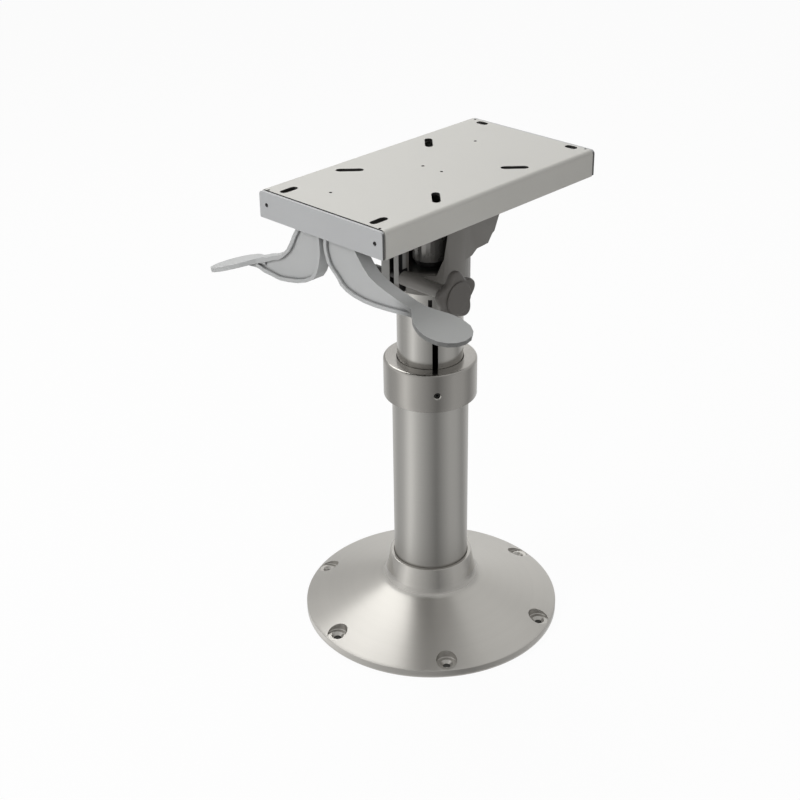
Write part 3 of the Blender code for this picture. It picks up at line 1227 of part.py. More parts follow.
def lever(name, pivot, side):
    """Cast release lever: channel-section arm with a flat paddle, on one side."""
    middle = (LEVER_FRONT + LEVER_BACK) / 2
    arm = [(side * x, z) for x, z in lever_outline(side)]
    part = link_part(name, extruded_mesh(name, [arm], "Y", LEVER_FRONT, LEVER_BACK),
                     LEVER_PAINT, pivot)
    pocket = inset(arm, LEVER_FLANGE)
    web_front = LEVER_FRONT + LEVER_RECESS
    web_back = web_front + LEVER_WEB
    cut(part, link_tool("lever_front_pocket", extruded_mesh(
        "lever_front_pocket", [pocket], "Y", LEVER_FRONT - 0.002, web_front), pivot))
    cut(part, link_tool("lever_back_pocket", extruded_mesh(
        "lever_back_pocket", [pocket], "Y", web_back, LEVER_BACK + 0.002), pivot))
    join(part, link_tool("lever_hub", rod_mesh(
        "lever_hub", LEVER_HUB_RADIUS * 0.86, "Y", (0, 0), LEVER_FRONT + LEVER_HUB_SINK,
        LEVER_BACK - LEVER_HUB_SINK, 10), pivot))
    paddle = link_tool("lever_paddle", extruded_mesh(
        "lever_paddle", [paddle_outline(middle)], "Z", -PADDLE_THICKNESS, 0), pivot)
    soften(paddle, 0.0014, 1)
    root = LEVER_ROOT
    paddle.location = (side * root[0], 0, root[1])
    paddle.rotation_euler = (0, side * PADDLE_SLOPE, 0)
    if side < 0:
        mirror_mesh(paddle.data)
    join(part, paddle)
    cut(part, square_bore("lever_square", pivot, LEVER_FRONT - 0.001, LEVER_BACK + 0.001))
    cut(part, link_tool("lever_pin_bore", rod_mesh(
        "lever_pin_bore", LEVER_PIN_RADIUS + SEAT, "Z", (0, middle), -LEVER_HUB_RADIUS * 1.2,
        LEVER_HUB_RADIUS * 1.2, 8), pivot))
    return part


def mirror_mesh(mesh):
    """Mirror a mesh across x = 0 and keep its faces pointing out."""
    mesh.transform(Matrix.Diagonal((-1, 1, 1, 1)))
    mesh.flip_normals()


def release_rod(name, pivot):
    """Square rod along the slide that a lever turns."""
    half = ROD_SIDE / 2
    rod = link_part(name, box_mesh(name, (-half, LEVER_FRONT + 0.001, -half),
                                   (half, REAR_BRACKET_Y + 0.006, half)), BRIGHT_STEEL, pivot)
    middle = (LEVER_FRONT + LEVER_BACK) / 2
    cut(rod, link_tool("rod_pin_bore", rod_mesh(
        "rod_pin_bore", LEVER_PIN_RADIUS + SEAT, "Z", (0, middle), -ROD_SIDE, ROD_SIDE, 8),
        pivot))
    return rod


def lever_pin(name, pivot):
    """Roll pin that fixes a lever on its rod."""
    middle = (LEVER_FRONT + LEVER_BACK) / 2
    reach = LEVER_HUB_RADIUS * 0.93
    return link_part(name, rod_mesh(name, LEVER_PIN_RADIUS, "Z", (0, middle), -reach, reach, 8),
                     ZINC_STEEL, pivot)


def finger(name, pivot, side, drop, low, high):
    """Finger on a rod: its foot rests at a drop below the rod, and a spring sits on it."""
    reach = FINGER_REACH
    foot = FINGER_FOOT / 2
    outline = arc((0, 0), FINGER_HUB_RADIUS, 90, 300, 8)
    outline += [(reach - foot - 0.002, -0.0035), (reach - foot, -drop), (reach + foot - 0.001, -drop),
                (reach + foot, -0.003), (reach + foot, 0), (FINGER_HUB_RADIUS, 0)]
    outline += arc((0, 0), FINGER_HUB_RADIUS, 15, 80, 4)
    outline = [(side * x, z) for x, z in outline]
    part = link_part(name, extruded_mesh(name, [outline], "Y", low, high), ZINC_STEEL, pivot)
    part.rotation_euler = (0, -pivot.rotation_euler.y, 0)
    cut(part, square_bore(name + "_square", pivot, low - 0.001, high + 0.001))
    return part


def return_spring(name, x, y, low, high):
    """Compression spring between a finger and the sheet above it."""
    steps = 6
    coil = bpy.data.curves.new(name, "CURVE")
    coil.dimensions = "3D"
    coil.bevel_depth = SPRING_WIRE
    coil.bevel_resolution = 1
    coil.use_fill_caps = True
    spline = coil.splines.new("POLY")
    count = SPRING_TURNS * steps + 1
    spline.points.add(count - 1)
    rise = high - low - 2 * SPRING_WIRE
    for index, point in enumerate(spline.points):
        angle = math.tau * index / steps
        height = low + SPRING_WIRE + rise * index / (count - 1)
        point.co = (x + SPRING_RADIUS * math.cos(angle), y + SPRING_RADIUS * math.sin(angle),
                    height, 1)
    holder = bpy.data.objects.new(name + "_coil", coil)
    CUTTERS.objects.link(holder)
    mesh = evaluated_mesh(holder)
    close_mesh(mesh)
    return link_part(name, mesh, BRIGHT_STEEL)


# Rod brackets under the seat plate

BRACKET_TOP = PLATE_UNDERSIDE - SEAT
BRACKET_FLOOR = CARRIAGE_TOP + 0.0005
FRONT_WEB = LEVER_BACK + 0.003


def rod_bores(part, low, high):
    """Round holes in a bracket for the two rods."""
    bore = ROD_SIDE / math.sqrt(2) + RUN
    for side in (-1, 1):
        cut(part, link_tool("rod_bore", rod_mesh(
            "rod_bore", bore, "Y", (side * ROD_X, ROD_HEIGHT), low, high, SMALL)))


def front_rod_bracket():
    """Folded channel under the plate, behind the levers, that carries the rods."""
    back = FRONT_WEB + FRONT_BRACKET_DEPTH
    outline = [(FRONT_WEB, BRACKET_FLOOR), (back, BRACKET_FLOOR),
               (back, BRACKET_FLOOR + BRACKET_SHEET),
               (FRONT_WEB + BRACKET_SHEET, BRACKET_FLOOR + BRACKET_SHEET),
               (FRONT_WEB + BRACKET_SHEET, BRACKET_TOP - BRACKET_SHEET),
               (back, BRACKET_TOP - BRACKET_SHEET), (back, BRACKET_TOP), (FRONT_WEB, BRACKET_TOP)]
    bracket = link_part("front_rod_bracket", extruded_mesh(
        "front_rod_bracket", [outline], "X", -BRACKET_HALF_WIDTH, BRACKET_HALF_WIDTH), ZINC_STEEL)
    rod_bores(bracket, FRONT_WEB - 0.001, FRONT_WEB + BRACKET_SHEET + 0.001)
    return bracket


def rear_rod_bracket():
    """Folded angle under the plate at the back ends of the rods."""
    back = REAR_BRACKET_Y + REAR_BRACKET_DEPTH
    outline = [(REAR_BRACKET_Y, BRACKET_FLOOR), (REAR_BRACKET_Y + BRACKET_SHEET, BRACKET_FLOOR),
               (REAR_BRACKET_Y + BRACKET_SHEET, BRACKET_TOP - BRACKET_SHEET),
               (back, BRACKET_TOP - BRACKET_SHEET), (back, BRACKET_TOP),
               (REAR_BRACKET_Y, BRACKET_TOP)]
    bracket = link_part("rear_rod_bracket", extruded_mesh(
        "rear_rod_bracket", [outline], "X", -BRACKET_HALF_WIDTH, BRACKET_HALF_WIDTH), ZINC_STEEL)
    rod_bores(bracket, REAR_BRACKET_Y - 0.001, REAR_BRACKET_Y + BRACKET_SHEET + 0.001)
    return bracket


def rod_pivot(name, side, lift):
    """Empty on a rod's axis that carries the rod and all that turns with it."""
    pivot = bpy.data.objects.new(name, None)
    PARTS.objects.link(pivot)
    pivot.location = (side * ROD_X, 0, ROD_HEIGHT)
    pivot.rotation_euler = (0, -side * lift, 0)
    return pivot


def build_base():
    """All that stays on the deck."""
    base_flange()
    socket_floor()
    outer_tube()
    height_collar()
    collar_key_screw()
    upper_guide_bush()
    gas_spring_cylinder()
    gas_spring_guide()


def build_post():
    """All that rises with the inner tube."""
    inner_tube()
    lower_guide_ring()
    gas_spring_rod()
    swivel_spindle()
    thrust_bearing()
    spindle_washer()
    spindle_nut()
    release_push_rod()


def build_head():
    """All that swivels with the head, and the knob that clamps it."""
    swivel_head()
    spindle_sleeve()
    swivel_bush()
    knob_washer()
    clamp_stud()
    star_knob()
    knob_cap()
    slide_carriage()
    carriage_bolt("bolt_front_left", -HEAD_BOLT_X, HEAD_BOLT_Y[0])
    carriage_bolt("bolt_front_right", HEAD_BOLT_X, HEAD_BOLT_Y[0])
    carriage_bolt("bolt_rear_left", -HEAD_BOLT_X, HEAD_BOLT_Y[1])
    carriage_bolt("bolt_rear_right", HEAD_BOLT_X, HEAD_BOLT_Y[1])
    slide_shoe("shoe_front_left", -1, -1)
    slide_shoe("shoe_front_right", 1, -1)
    slide_shoe("shoe_rear_left", -1, 1)
    slide_shoe("shoe_rear_right", 1, 1)
    crank_bracket()
    release_crank()


def build_slide():
    """All that slides with the seat plate, and the two levers under it."""
    seat_plate()
    end_cap("front_end_cap", PLATE_FRONT, 1)
    end_cap("rear_end_cap", PLATE_REAR, -1)
    cap_screw("cap_screw_front_left", -1, PLATE_FRONT, 1)
    cap_screw("cap_screw_front_right", 1, PLATE_FRONT, 1)
    cap_screw("cap_screw_rear_left", -1, PLATE_REAR, -1)
    cap_screw("cap_screw_rear_right", 1, PLATE_REAR, -1)
    front_rod_bracket()
    rear_rod_bracket()

    left = rod_pivot("left_lever_axis", -1, 0)
    lever("left_lever", left, -1)
    release_rod("left_release_rod", left)
    lever_pin("left_lever_pin", left)
    stop_low = FRONT_WEB + BRACKET_SHEET + 0.003
    stop_drop = ROD_HEIGHT - (BRACKET_FLOOR + BRACKET_SHEET + SEAT)
    finger("left_stop_finger", left, -1, stop_drop, stop_low, stop_low + FINGER_THICKNESS)
    return_spring("left_return_spring", -ROD_X - FINGER_REACH, stop_low + FINGER_THICKNESS / 2,
                  ROD_HEIGHT + SEAT, BRACKET_TOP - BRACKET_SHEET - SEAT)

    right = rod_pivot("right_lever_axis", 1, LOCK_LEVER_LIFT)
    lever("right_lever", right, 1)
    release_rod("right_release_rod", right)
    lever_pin("right_lever_pin", right)
    lock_drop = ROD_HEIGHT - (CARRIAGE_TOP + SEAT)
    finger("slide_lock_finger", right, 1, lock_drop, FINGER_Y - FINGER_THICKNESS / 2,
           FINGER_Y + FINGER_THICKNESS / 2)
    return_spring("right_return_spring", ROD_X + FINGER_REACH, FINGER_Y,
                  ROD_HEIGHT + SEAT, PLATE_UNDERSIDE - SEAT)


build_base()
build_post()
build_head()
build_slide()
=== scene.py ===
"""Boat seat pedestal: its looks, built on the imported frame.

Metres, +Z up. The front, with the two levers, is -Y, and the star knob is on +X.
"""

import math

import bmesh
import bpy
from mathutils import Matrix, Vector


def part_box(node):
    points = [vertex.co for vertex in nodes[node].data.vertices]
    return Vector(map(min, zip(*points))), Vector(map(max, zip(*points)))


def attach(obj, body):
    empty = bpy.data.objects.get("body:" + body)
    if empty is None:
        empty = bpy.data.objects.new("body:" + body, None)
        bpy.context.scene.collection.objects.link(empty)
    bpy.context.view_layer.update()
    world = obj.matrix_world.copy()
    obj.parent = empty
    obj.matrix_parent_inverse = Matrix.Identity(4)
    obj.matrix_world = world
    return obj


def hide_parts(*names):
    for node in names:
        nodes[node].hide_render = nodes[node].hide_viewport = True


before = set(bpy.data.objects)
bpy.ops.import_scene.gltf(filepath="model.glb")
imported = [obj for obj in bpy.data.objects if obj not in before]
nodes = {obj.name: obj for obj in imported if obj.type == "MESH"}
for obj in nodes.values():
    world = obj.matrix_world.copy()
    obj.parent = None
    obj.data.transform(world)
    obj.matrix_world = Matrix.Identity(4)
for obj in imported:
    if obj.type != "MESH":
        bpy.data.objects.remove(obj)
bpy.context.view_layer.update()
scene = bpy.context.scene
scene.view_settings.view_transform = "Standard"


# Camera: a long lens from the front right corner. It looks down by 28 degrees and leans by
# less than a degree.
camera_data = bpy.data.cameras.new("camera")
camera_data.sensor_width = 36.0
camera_data.lens = 1497.78 * camera_data.sensor_width / 800
camera = bpy.data.objects.new("camera", camera_data)
camera_right = Vector((0.71970, 0.69418, -0.01217))
camera_up = Vector((-0.31759, 0.34476, 0.88334))
camera_back = Vector((0.61739, -0.63187, 0.46858))
camera.matrix_world = Matrix.Translation((1.05373, -1.12909, 1.10361)) @ Matrix(
    (camera_right, camera_up, camera_back)).transposed().to_4x4()
scene.collection.objects.link(camera)
scene.camera = camera


# Studio: a white floor that goes on into a white surround. Lens, metal and glass see it
# as plain white, and diffuse light comes from the lamps and a soft grey sky.
class Shade:
    """One socket of a shader. Arithmetic on it adds Math nodes."""

    def __init__(self, tree, socket=None):
        self.tree = tree
        self.socket = socket

    def add(self, kind, settings=None, inputs=None, output=0):
        """Add a node: its settings first, then the values or links of its sockets."""
        node = self.tree.nodes.new(kind)
        for name, value in (settings or {}).items():
            if name == "stops":
                ramp = node.color_ramp.elements
                while len(ramp) < len(value):
                    ramp.new(0.5)
                for element, (place, colour) in zip(ramp, value):
                    element.position = place
                    element.color = colour
            else:
                setattr(node, name, value)
        for name, value in (inputs or {}).items():
            if isinstance(value, Shade):
                self.tree.links.new(value.socket, node.inputs[name])
            else:
                node.inputs[name].default_value = value
        return Shade(self.tree, node.outputs[output]) if node.outputs else None

    def math(self, operation, first, second=0.0, clamp=False):
        return self.add("ShaderNodeMath", {"operation": operation, "use_clamp": clamp},
                        {0: first, 1: second})

    def __add__(self, other):
        return self.math("ADD", self, other)

    __radd__ = __add__

    def __sub__(self, other):
        return self.math("SUBTRACT", self, other)

    def __rsub__(self, other):
        return self.math("SUBTRACT", other, self)

    def __mul__(self, other):
        return self.math("MULTIPLY", self, other)

    __rmul__ = __mul__

    def __truediv__(self, other):
        return self.math("DIVIDE", self, other)

    def between(self, low, high, start=0.0, end=1.0):
        """Rise smoothly from start to end as this goes from low to high."""
        return self.add("ShaderNodeMapRange", {"interpolation_type": "SMOOTHSTEP"},
                        {"Value": self, "From Min": low, "From Max": high,
                         "To Min": start, "To Max": end})

    def mix(self, first, second):
        """Mix two colours by this."""
        return self.add("ShaderNodeMix", {"data_type": "RGBA"}, {0: self, 6: first, 7: second}, 2)


WHITE = (1.0, 1.0, 1.0, 1.0)


def seen_directly(start):
    """1 for what the lens, a mirror or glass sees, and 0 for the light that falls on things."""
    path = start.add("ShaderNodeLightPath")
    rays = path.socket.node.outputs
    seen = Shade(start.tree, rays["Is Camera Ray"]) + Shade(start.tree, rays["Is Glossy Ray"])
    return start.math("ADD", seen, Shade(start.tree, rays["Is Transmission Ray"]), clamp=True)


world = bpy.data.worlds.new("studio_surround")
world.use_nodes = True
scene.world = world
sky_tree = world.node_tree
sky_tree.nodes.clear()
sky = Shade(sky_tree)
lit = sky.add("ShaderNodeBackground", {}, {"Color": (1.0, 0.99, 0.97, 1.0), "Strength": 0.34})
plain_white = sky.add("ShaderNodeBackground", {}, {"Color": WHITE, "Strength": 1.0})
either = sky.add("ShaderNodeMixShader", {}, {0: seen_directly(sky), 1: lit, 2: plain_white})
sky.add("ShaderNodeOutputWorld", {}, {"Surface": either})

floor_mesh = bpy.data.meshes.new("studio_floor")
floor_reach, floor_level = 6.0, -0.0004
floor_mesh.from_pydata([(x * floor_reach, y * floor_reach, floor_level)
                        for x, y in ((-1, -1), (1, -1), (1, 1), (-1, 1))], [], [(0, 1, 2, 3)])
floor = bpy.data.objects.new("studio_floor", floor_mesh)
scene.collection.objects.link(floor)
floor_paint = bpy.data.materials.new("studio_floor_white")
floor_paint.use_nodes = True
floor_paint.node_tree.nodes.clear()
matt = Shade(floor_paint.node_tree)
paper = matt.add("ShaderNodeBsdfDiffuse", {}, {"Color": (0.80, 0.80, 0.80, 1.0)})
glow = matt.add("ShaderNodeEmission", {}, {"Color": WHITE, "Strength": 1.0})
floor_mix = matt.add("ShaderNodeMixShader", {}, {0: seen_directly(matt) * 0.95, 1: paper, 2: glow})
matt.add("ShaderNodeOutputMaterial", {}, {"Surface": floor_mix})
floor_mesh.materials.append(floor_paint)


def soft_lamp(name, azimuth, height, distance, size, watts):
    """Area lamp at an azimuth in degrees from the front towards +X, aimed at the post."""
    post_middle = Vector((0, 0, 0.30))
    lamp_data = bpy.data.lights.new(name, "AREA")
    lamp_data.shape = "RECTANGLE"
    lamp_data.size, lamp_data.size_y = size
    lamp_data.energy = watts
    lamp = bpy.data.objects.new(name, lamp_data)
    lamp.visible_glossy = False
    turn = math.radians(azimuth)
    lamp.location = (distance * math.sin(turn), -distance * math.cos(turn), height)
    toward = post_middle - lamp.location
    lamp.rotation_euler = toward.to_track_quat("-Z", "Y").to_euler()
    scene.collection.objects.link(lamp)


soft_lamp("key_softbox", -20, 1.55, 1.9, (0.9, 1.2), 20)
soft_lamp("top_softbox", -125, 2.05, 1.20, (0.9, 0.9), 18)
soft_lamp("side_softbox", 62, 0.80, 0.95, (0.5, 0.6), 1.8)


# Reflection cards: rings of card that lie and stand round the object, and that only metal
# and gloss show. They are printed lighter and darker round the object. The floor card starts
# outside the flange, the wall and the vault lean in above it, and the roof closes them.
def object_place(start):
    """Where a point is on its object."""
    return start.add("ShaderNodeTexCoord", output=3)


def parts_of(vector):
    """The three parts of a vector."""
    outputs = vector.add("ShaderNodeSeparateXYZ", {}, {0: vector}).socket.node.outputs
    return [Shade(vector.tree, outputs[index]) for index in range(3)]


def reflection_card(name, mesh, stops, strength):
    """Give a card its print, which changes with the azimuth from the front towards +X."""
    card = bpy.data.objects.new(name, mesh)
    scene.collection.objects.link(card)
    card_paint = bpy.data.materials.new(name)
    card_paint.use_nodes = True
    card_paint.node_tree.nodes.clear()
    start = Shade(card_paint.node_tree)
    x, y, z = parts_of(object_place(start))
    turn = start.math("ARCTAN2", x, y * -1.0)
    ramp = [((azimuth + 180) / 360, (level, level, level * 0.985, 1.0))
            for azimuth, level in stops]
    print_ = start.add("ShaderNodeValToRGB", {"stops": ramp}, {0: turn / math.tau + 0.5})
    light = start.add("ShaderNodeEmission", {}, {"Color": print_, "Strength": strength})
    start.add("ShaderNodeOutputMaterial", {}, {"Surface": light})
    mesh.materials.append(card_paint)
    card.visible_camera = False
    card.visible_diffuse = False
    card.visible_shadow = False
    card.visible_transmission = False


def ring_mesh(name, profile, sides=72, closed=False):
    """Turn a line or a closed loop of (radius, height) about the upright axis."""
    points, faces = [], []
    for radius, height in profile:
        for step in range(sides):
            turn = math.tau * step / sides
            points.append((radius * math.sin(turn), -radius * math.cos(turn), height))
    for row in range(len(profile) if closed else len(profile) - 1):
        this_row, next_row = row * sides, (row + 1) % len(profile) * sides
        for step in range(sides):
            after = (step + 1) % sides
            faces.append((this_row + step, this_row + after, next_row + after, next_row + step))
    mesh = bpy.data.meshes.new(name)
    mesh.from_pydata(points, [], faces)
    return mesh


FLOOR_PRINT = ((-180, 0.72), (-95, 0.78), (-70, 0.60), (-45, 0.72), (-18, 1.30), (4, 0.85),
               (23, 0.62), (42, 0.44), (60, 0.27), (78, 0.46), (100, 0.66), (125, 0.64),
               (150, 0.42), (180, 0.72))
WALL_PRINT = ((-180, 0.80), (-150, 1.02), (-130, 1.05), (-114, 0.60), (-90, 0.75), (-60, 0.80),
              (-30, 1.10), (20, 0.60), (60, 0.35), (100, 0.60), (180, 0.70))
VAULT_PRINT = ((-180, 0.24), (-160, 0.28), (-146, 0.29), (-139, 0.40), (-132, 1.3),
               (-108, 1.3), (-92, 0.35), (0, 0.20), (100, 0.20), (180, 0.24))
ROOF_PRINT = ((-180, 0.72), (0, 0.72), (180, 0.72))
card_reach, wall_foot, wall_top, vault_foot, vault_top = 2.4, 0.0002, 1.0, 1.85, 2.7
for name, profile, card_print, strength in (
        ("floor_card", [(0.157, wall_foot), (card_reach, wall_foot)], FLOOR_PRINT, 1.0),
        ("wall_card", [(card_reach, wall_foot), (card_reach, wall_top), (2.0, vault_foot)],
         WALL_PRINT, 1.0),
        ("vault_card", [(2.0, vault_foot), (1.0, vault_top)], VAULT_PRINT, 3.6),
        ("roof_card", [(1.0, vault_top), (0.0, 2.9)], ROOF_PRINT, 1.0)):
    reflection_card(name, ring_mesh(name, profile), card_print, strength)


# Deck flange: one disc of aluminium spun to a cone, then turned, so fine rings run round it
# and the light gathers in wedges. It is anodised satin, and its neck is polished. Six flat
# seats with countersunk holes take the deck screws.
def start_finish(name):
    """New material and the place to add nodes to it."""
    finish = bpy.data.materials.new(name)
    finish.use_nodes = True
    return finish, Shade(finish.node_tree)


def connect(finish, **sockets):
    """Give the Principled shader its values and links. Names use _ for a space."""
    shader = finish.node_tree.nodes["Principled BSDF"]
    for name, value in sockets.items():
        socket = shader.inputs[name.replace("_", " ")]
        if isinstance(value, Shade):
            finish.node_tree.links.new(value.socket, socket)
        else:
            socket.default_value = value


def noise(start, vector, scale, detail=3.0):
    """Noise from 0 to 1 at a place."""
    return start.add("ShaderNodeTexNoise", {"noise_dimensions": "3D"},
                     {"Vector": vector, "Scale": scale, "Detail": detail, "Roughness": 0.5})


def line_noise(start, along, scale):
    """Noise that changes along one number only, for tool marks and brushed lines."""
    return start.add("ShaderNodeTexNoise", {"noise_dimensions": "1D"},
                     {"W": along, "Scale": scale, "Detail": 4.0, "Roughness": 0.6})


def bump(start, height, depth):
    """Surface relief of a depth in metres."""
    return start.add("ShaderNodeBump", {}, {"Height": height, "Distance": depth})


def fillet(before, corner, after, radius, steps):
    """Points of the arc that rounds a corner between two straight runs."""
    corner = Vector(corner)
    first, second = (Vector(before) - corner).normalized(), (Vector(after) - corner).normalized()
    half = first.angle(second) / 2
    middle = corner + (first + second).normalized() * radius / math.sin(half)
    start, end = corner + first * radius / math.tan(half), corner + second * radius / math.tan(half)
    first_arm, second_arm = start - middle, end - middle
    turn = first_arm.angle(second_arm)
    return [tuple(middle + (first_arm * math.sin(turn * (1 - part)) + second_arm
                            * math.sin(turn * part)) / math.sin(turn))
            for part in (step / steps for step in range(steps + 1))]


def spread(start, end, steps):
    """Points of a straight run without its last one."""
    return [(start[0] + (end[0] - start[0]) * step / steps,
             start[1] + (end[1] - start[1]) * step / steps) for step in range(steps)]


def solid_turned(name, profile, sides, x=0.0, y=0.0):
    """Closed turned solid whose profile starts and ends on its upright axis."""
    mesh = ring_mesh(name, profile[1:-1], sides)
    solid = bmesh.new()
    solid.from_mesh(mesh)
    bmesh.ops.holes_fill(solid, edges=[edge for edge in solid.edges if edge.is_boundary])
    bmesh.ops.recalc_face_normals(solid, faces=solid.faces)
    bmesh.ops.translate(solid, verts=solid.verts, vec=(x, y, 0))
    solid.to_mesh(mesh)
    solid.free()
    return mesh


def joined(name, mesh, tools, operation="DIFFERENCE"):
    """Cut meshes out of a mesh, or melt them into it, and give back the result."""
    blank = bpy.data.objects.new(name, mesh)
    scene.collection.objects.link(blank)
    cutters = []
    for tool in tools:
        cutter = bpy.data.objects.new(tool.name, tool)
        scene.collection.objects.link(cutter)
        cutters.append(cutter)
        step = blank.modifiers.new(operation.lower(), "BOOLEAN")
        step.operation = operation
        step.solver = "EXACT"
        step.object = cutter
    seen = bpy.context.evaluated_depsgraph_get()
    result = bpy.data.meshes.new_from_object(blank.evaluated_get(seen))
    result.name = name
    for item in (blank, *cutters):
        bpy.data.objects.remove(item)
    return result


def finished_piece(name, mesh, finish, node, body, sharp=32):
    """Show a piece in place of a frame node, riding on its body."""
    upright = bmesh.new()
    upright.from_mesh(mesh)
    bmesh.ops.recalc_face_normals(upright, faces=upright.faces)
    upright.to_mesh(mesh)
    upright.free()
    mesh.materials.clear()
    mesh.materials.append(finish)
    mesh.shade_smooth()
    mesh.set_sharp_from_angle(angle=math.radians(sharp))
    piece = bpy.data.objects.new(name, mesh)
    scene.collection.objects.link(piece)
    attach(piece, body)
    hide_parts(node)
    return piece


def break_edges(piece, width, angle=50):
    """Round the edges of a piece that are sharper than an angle in degrees."""
    edge = piece.modifiers.new("broken_edges", "BEVEL")
    edge.width, edge.segments, edge.limit_method = width, 2, "ANGLE"
    edge.angle_limit = math.radians(angle)
    edge.harden_normals = True


flange_radius, rim_height, neck_height = 0.155, 0.0095, 0.0785
neck_radius, socket_radius, hub_radius = 0.0495, 0.04475, 0.05025
cone_foot, cone_top = (flange_radius, rim_height), (0.0545, 0.0475)
under_foot, under_top = (0.124, 0.0157), (hub_radius, 0.0436)
bolt_circle, first_hole, hole_radius, hole_depth = 0.1415, -0.167552, 0.0041, 0.0061
seat_height, seat_radius = 0.0094, 0.0116

spun_aluminium, spun = start_finish("spun_aluminium")
spun_place = object_place(spun)
spun_x, spun_y, spun_z = parts_of(spun_place)
ring_radius = spun.math("SQRT", spun_x * spun_x + spun_y * spun_y)
ring_lines = line_noise(spun, ring_radius + spun_z * 1.7, 1400)
coarse_lines = line_noise(spun, ring_radius + spun_z * 1.7, 260)
spun_clouds = noise(spun, spun_place, 14)
on_neck = spun_z.between(0.046, 0.052)
# Painted shade: the walls of the screw holes are painted near black.
hole_wall_shade = (spun.math("ABSOLUTE", ring_radius - bolt_circle)
             .between(hole_radius + 0.0001, hole_radius + 0.0004, 1.0, 0.0)
             * spun_z.between(hole_depth - 0.0001, hole_depth + 0.0003, 1.0, 0.0)
             * spun_z.between(0.0006, 0.0010))
ring_colour = (ring_lines * 0.2 + coarse_lines * 0.35 + spun_clouds * 0.45).mix(
    (0.445, 0.432, 0.41, 1), (0.515, 0.50, 0.475, 1))
connect(spun_aluminium,
        Base_Color=hole_wall_shade.mix(ring_colour, (0.05, 0.048, 0.045, 1)),
        Metallic=0.88,
        Roughness=(ring_lines.between(0.2, 0.8, 0.30, 0.325) + (spun_clouds - 0.5) * 0.06
                   - on_neck * 0.17),
        Anisotropic=0.75, Anisotropic_Rotation=0.25,
        Normal=bump(spun, ring_lines * 0.6 + coarse_lines * 0.4, 0.0000014))

bend = fillet((neck_radius, neck_height), cone_top, cone_foot, 0.014, 14)
rim_edge = fillet(cone_top, cone_foot, (flange_radius, 0), 0.0011, 5)
neck_edge = fillet((0.046, neck_height), (neck_radius, neck_height), (neck_radius + 0.001, 0.06),
                   0.0009, 5)
flange_profile = (
    [(socket_radius + 0.0006, neck_height - 0.0001)] + neck_edge
    + spread((neck_radius + 0.0001, neck_height - 0.0012), bend[0], 5)[1:] + bend
    + spread(bend[-1], rim_edge[0], 30)[1:] + rim_edge
    + [(flange_radius, 0.0006), (flange_radius - 0.0006, 0.0), (0.1246, 0.0), (0.124, 0.0006)]
    + spread(under_foot, under_top, 10)
    + [under_top, (hub_radius, 0.0006), (hub_radius - 0.0006, 0.0), (socket_radius, 0.0),
       (socket_radius, neck_height - 0.0007)])
screw_seats = []
for number in range(6):
    turn = first_hole + math.tau * number / 6
    screw_seats.append(solid_turned(
        "screw_seat", [(0, -0.004), (hole_radius, -0.004), (hole_radius, hole_depth),
                       (0.0074, seat_height), (0.0078, seat_height), (seat_radius, seat_height),
                       (seat_radius + 0.0006, seat_height + 0.0006),
                       (seat_radius + 0.0006, 0.034), (0, 0.034)],
        40, bolt_circle * math.sin(turn), -bolt_circle * math.cos(turn)))
flange_mesh = joined("deck_flange", ring_mesh("deck_flange", flange_profile, 180, closed=True),
                     screw_seats)
deck_flange = finished_piece("deck_flange", flange_mesh, spun_aluminium, "base_flange", "base")
break_edges(deck_flange, 0.0004)


# Height collar: bored and turned from thick aluminium tube, and set over the top of the fixed
# tube. Its lines are finer than the flange's and it mirrors more. One radial hole,
# countersunk, takes the key screw.
key_azimuth, key_height, key_radius = 0.90059, 0.3167, 0.0033
collar_radius, collar_low, collar_high = 0.0542, 0.296, 0.343


def key_hole():
    """Countersunk rod along the key screw's radius, which cuts its hole."""
    start, end, sink = 0.03, 0.06, 0.0012
    wide = key_radius + sink
    mesh = solid_turned("key_hole", [(0, start), (key_radius, start), (key_radius, end - 0.0070),
                                     (wide, end - 0.0058), (wide, end), (0, end)], 32)
    mesh.transform(Matrix.Translation((0, 0, key_height)) @ Matrix.Rotation(key_azimuth, 4, "Z")
                   @ Matrix.Rotation(math.pi / 2, 4, "X"))
    return mesh


turned_aluminium, lathe = start_finish("turned_aluminium")
lathe_place = object_place(lathe)
lathe_x, lathe_y, lathe_z = parts_of(lathe_place)
lathe_radius = lathe.math("SQRT", lathe_x * lathe_x + lathe_y * lathe_y)
lathe_lines = line_noise(lathe, lathe_z + lathe_radius, 1500)
lathe_clouds = noise(lathe, lathe_place, 20)
connect(turned_aluminium,
        Base_Color=(lathe_lines * 0.3 + lathe_clouds * 0.7).mix((0.355, 0.342, 0.325, 1),
                                                                (0.40, 0.387, 0.368, 1)),
        Metallic=1.0, Roughness=lathe_lines.between(0.2, 0.8, 0.20, 0.235),
        Anisotropic=0.55, Anisotropic_Rotation=0.25,
        Normal=bump(lathe, lathe_lines, 0.0000012))

collar_profile = (
    fillet((0.03, collar_high), (collar_radius, collar_high), (collar_radius, 0.3), 0.003, 8)
    + spread((collar_radius, collar_high - 0.0032), (collar_radius, collar_low + 0.0008), 6)[1:]
    + fillet((collar_radius, 0.32), (collar_radius, collar_low), (0.03, collar_low), 0.0007, 3)
    + [(0.0453, collar_low), (0.04475, collar_low + 0.0005), (0.04475, 0.335), (0.0384, 0.335)]
    + fillet((0.0384, 0.32), (0.0384, collar_high), (0.06, collar_high), 0.0010, 4))
collar_mesh = joined("lock_collar", ring_mesh("lock_collar", collar_profile, 160, closed=True),
                     [key_hole()])
lock_collar = finished_piece("lock_collar", collar_mesh, turned_aluminium, "height_collar",
                             "base")
break_edges(lock_collar, 0.0003)


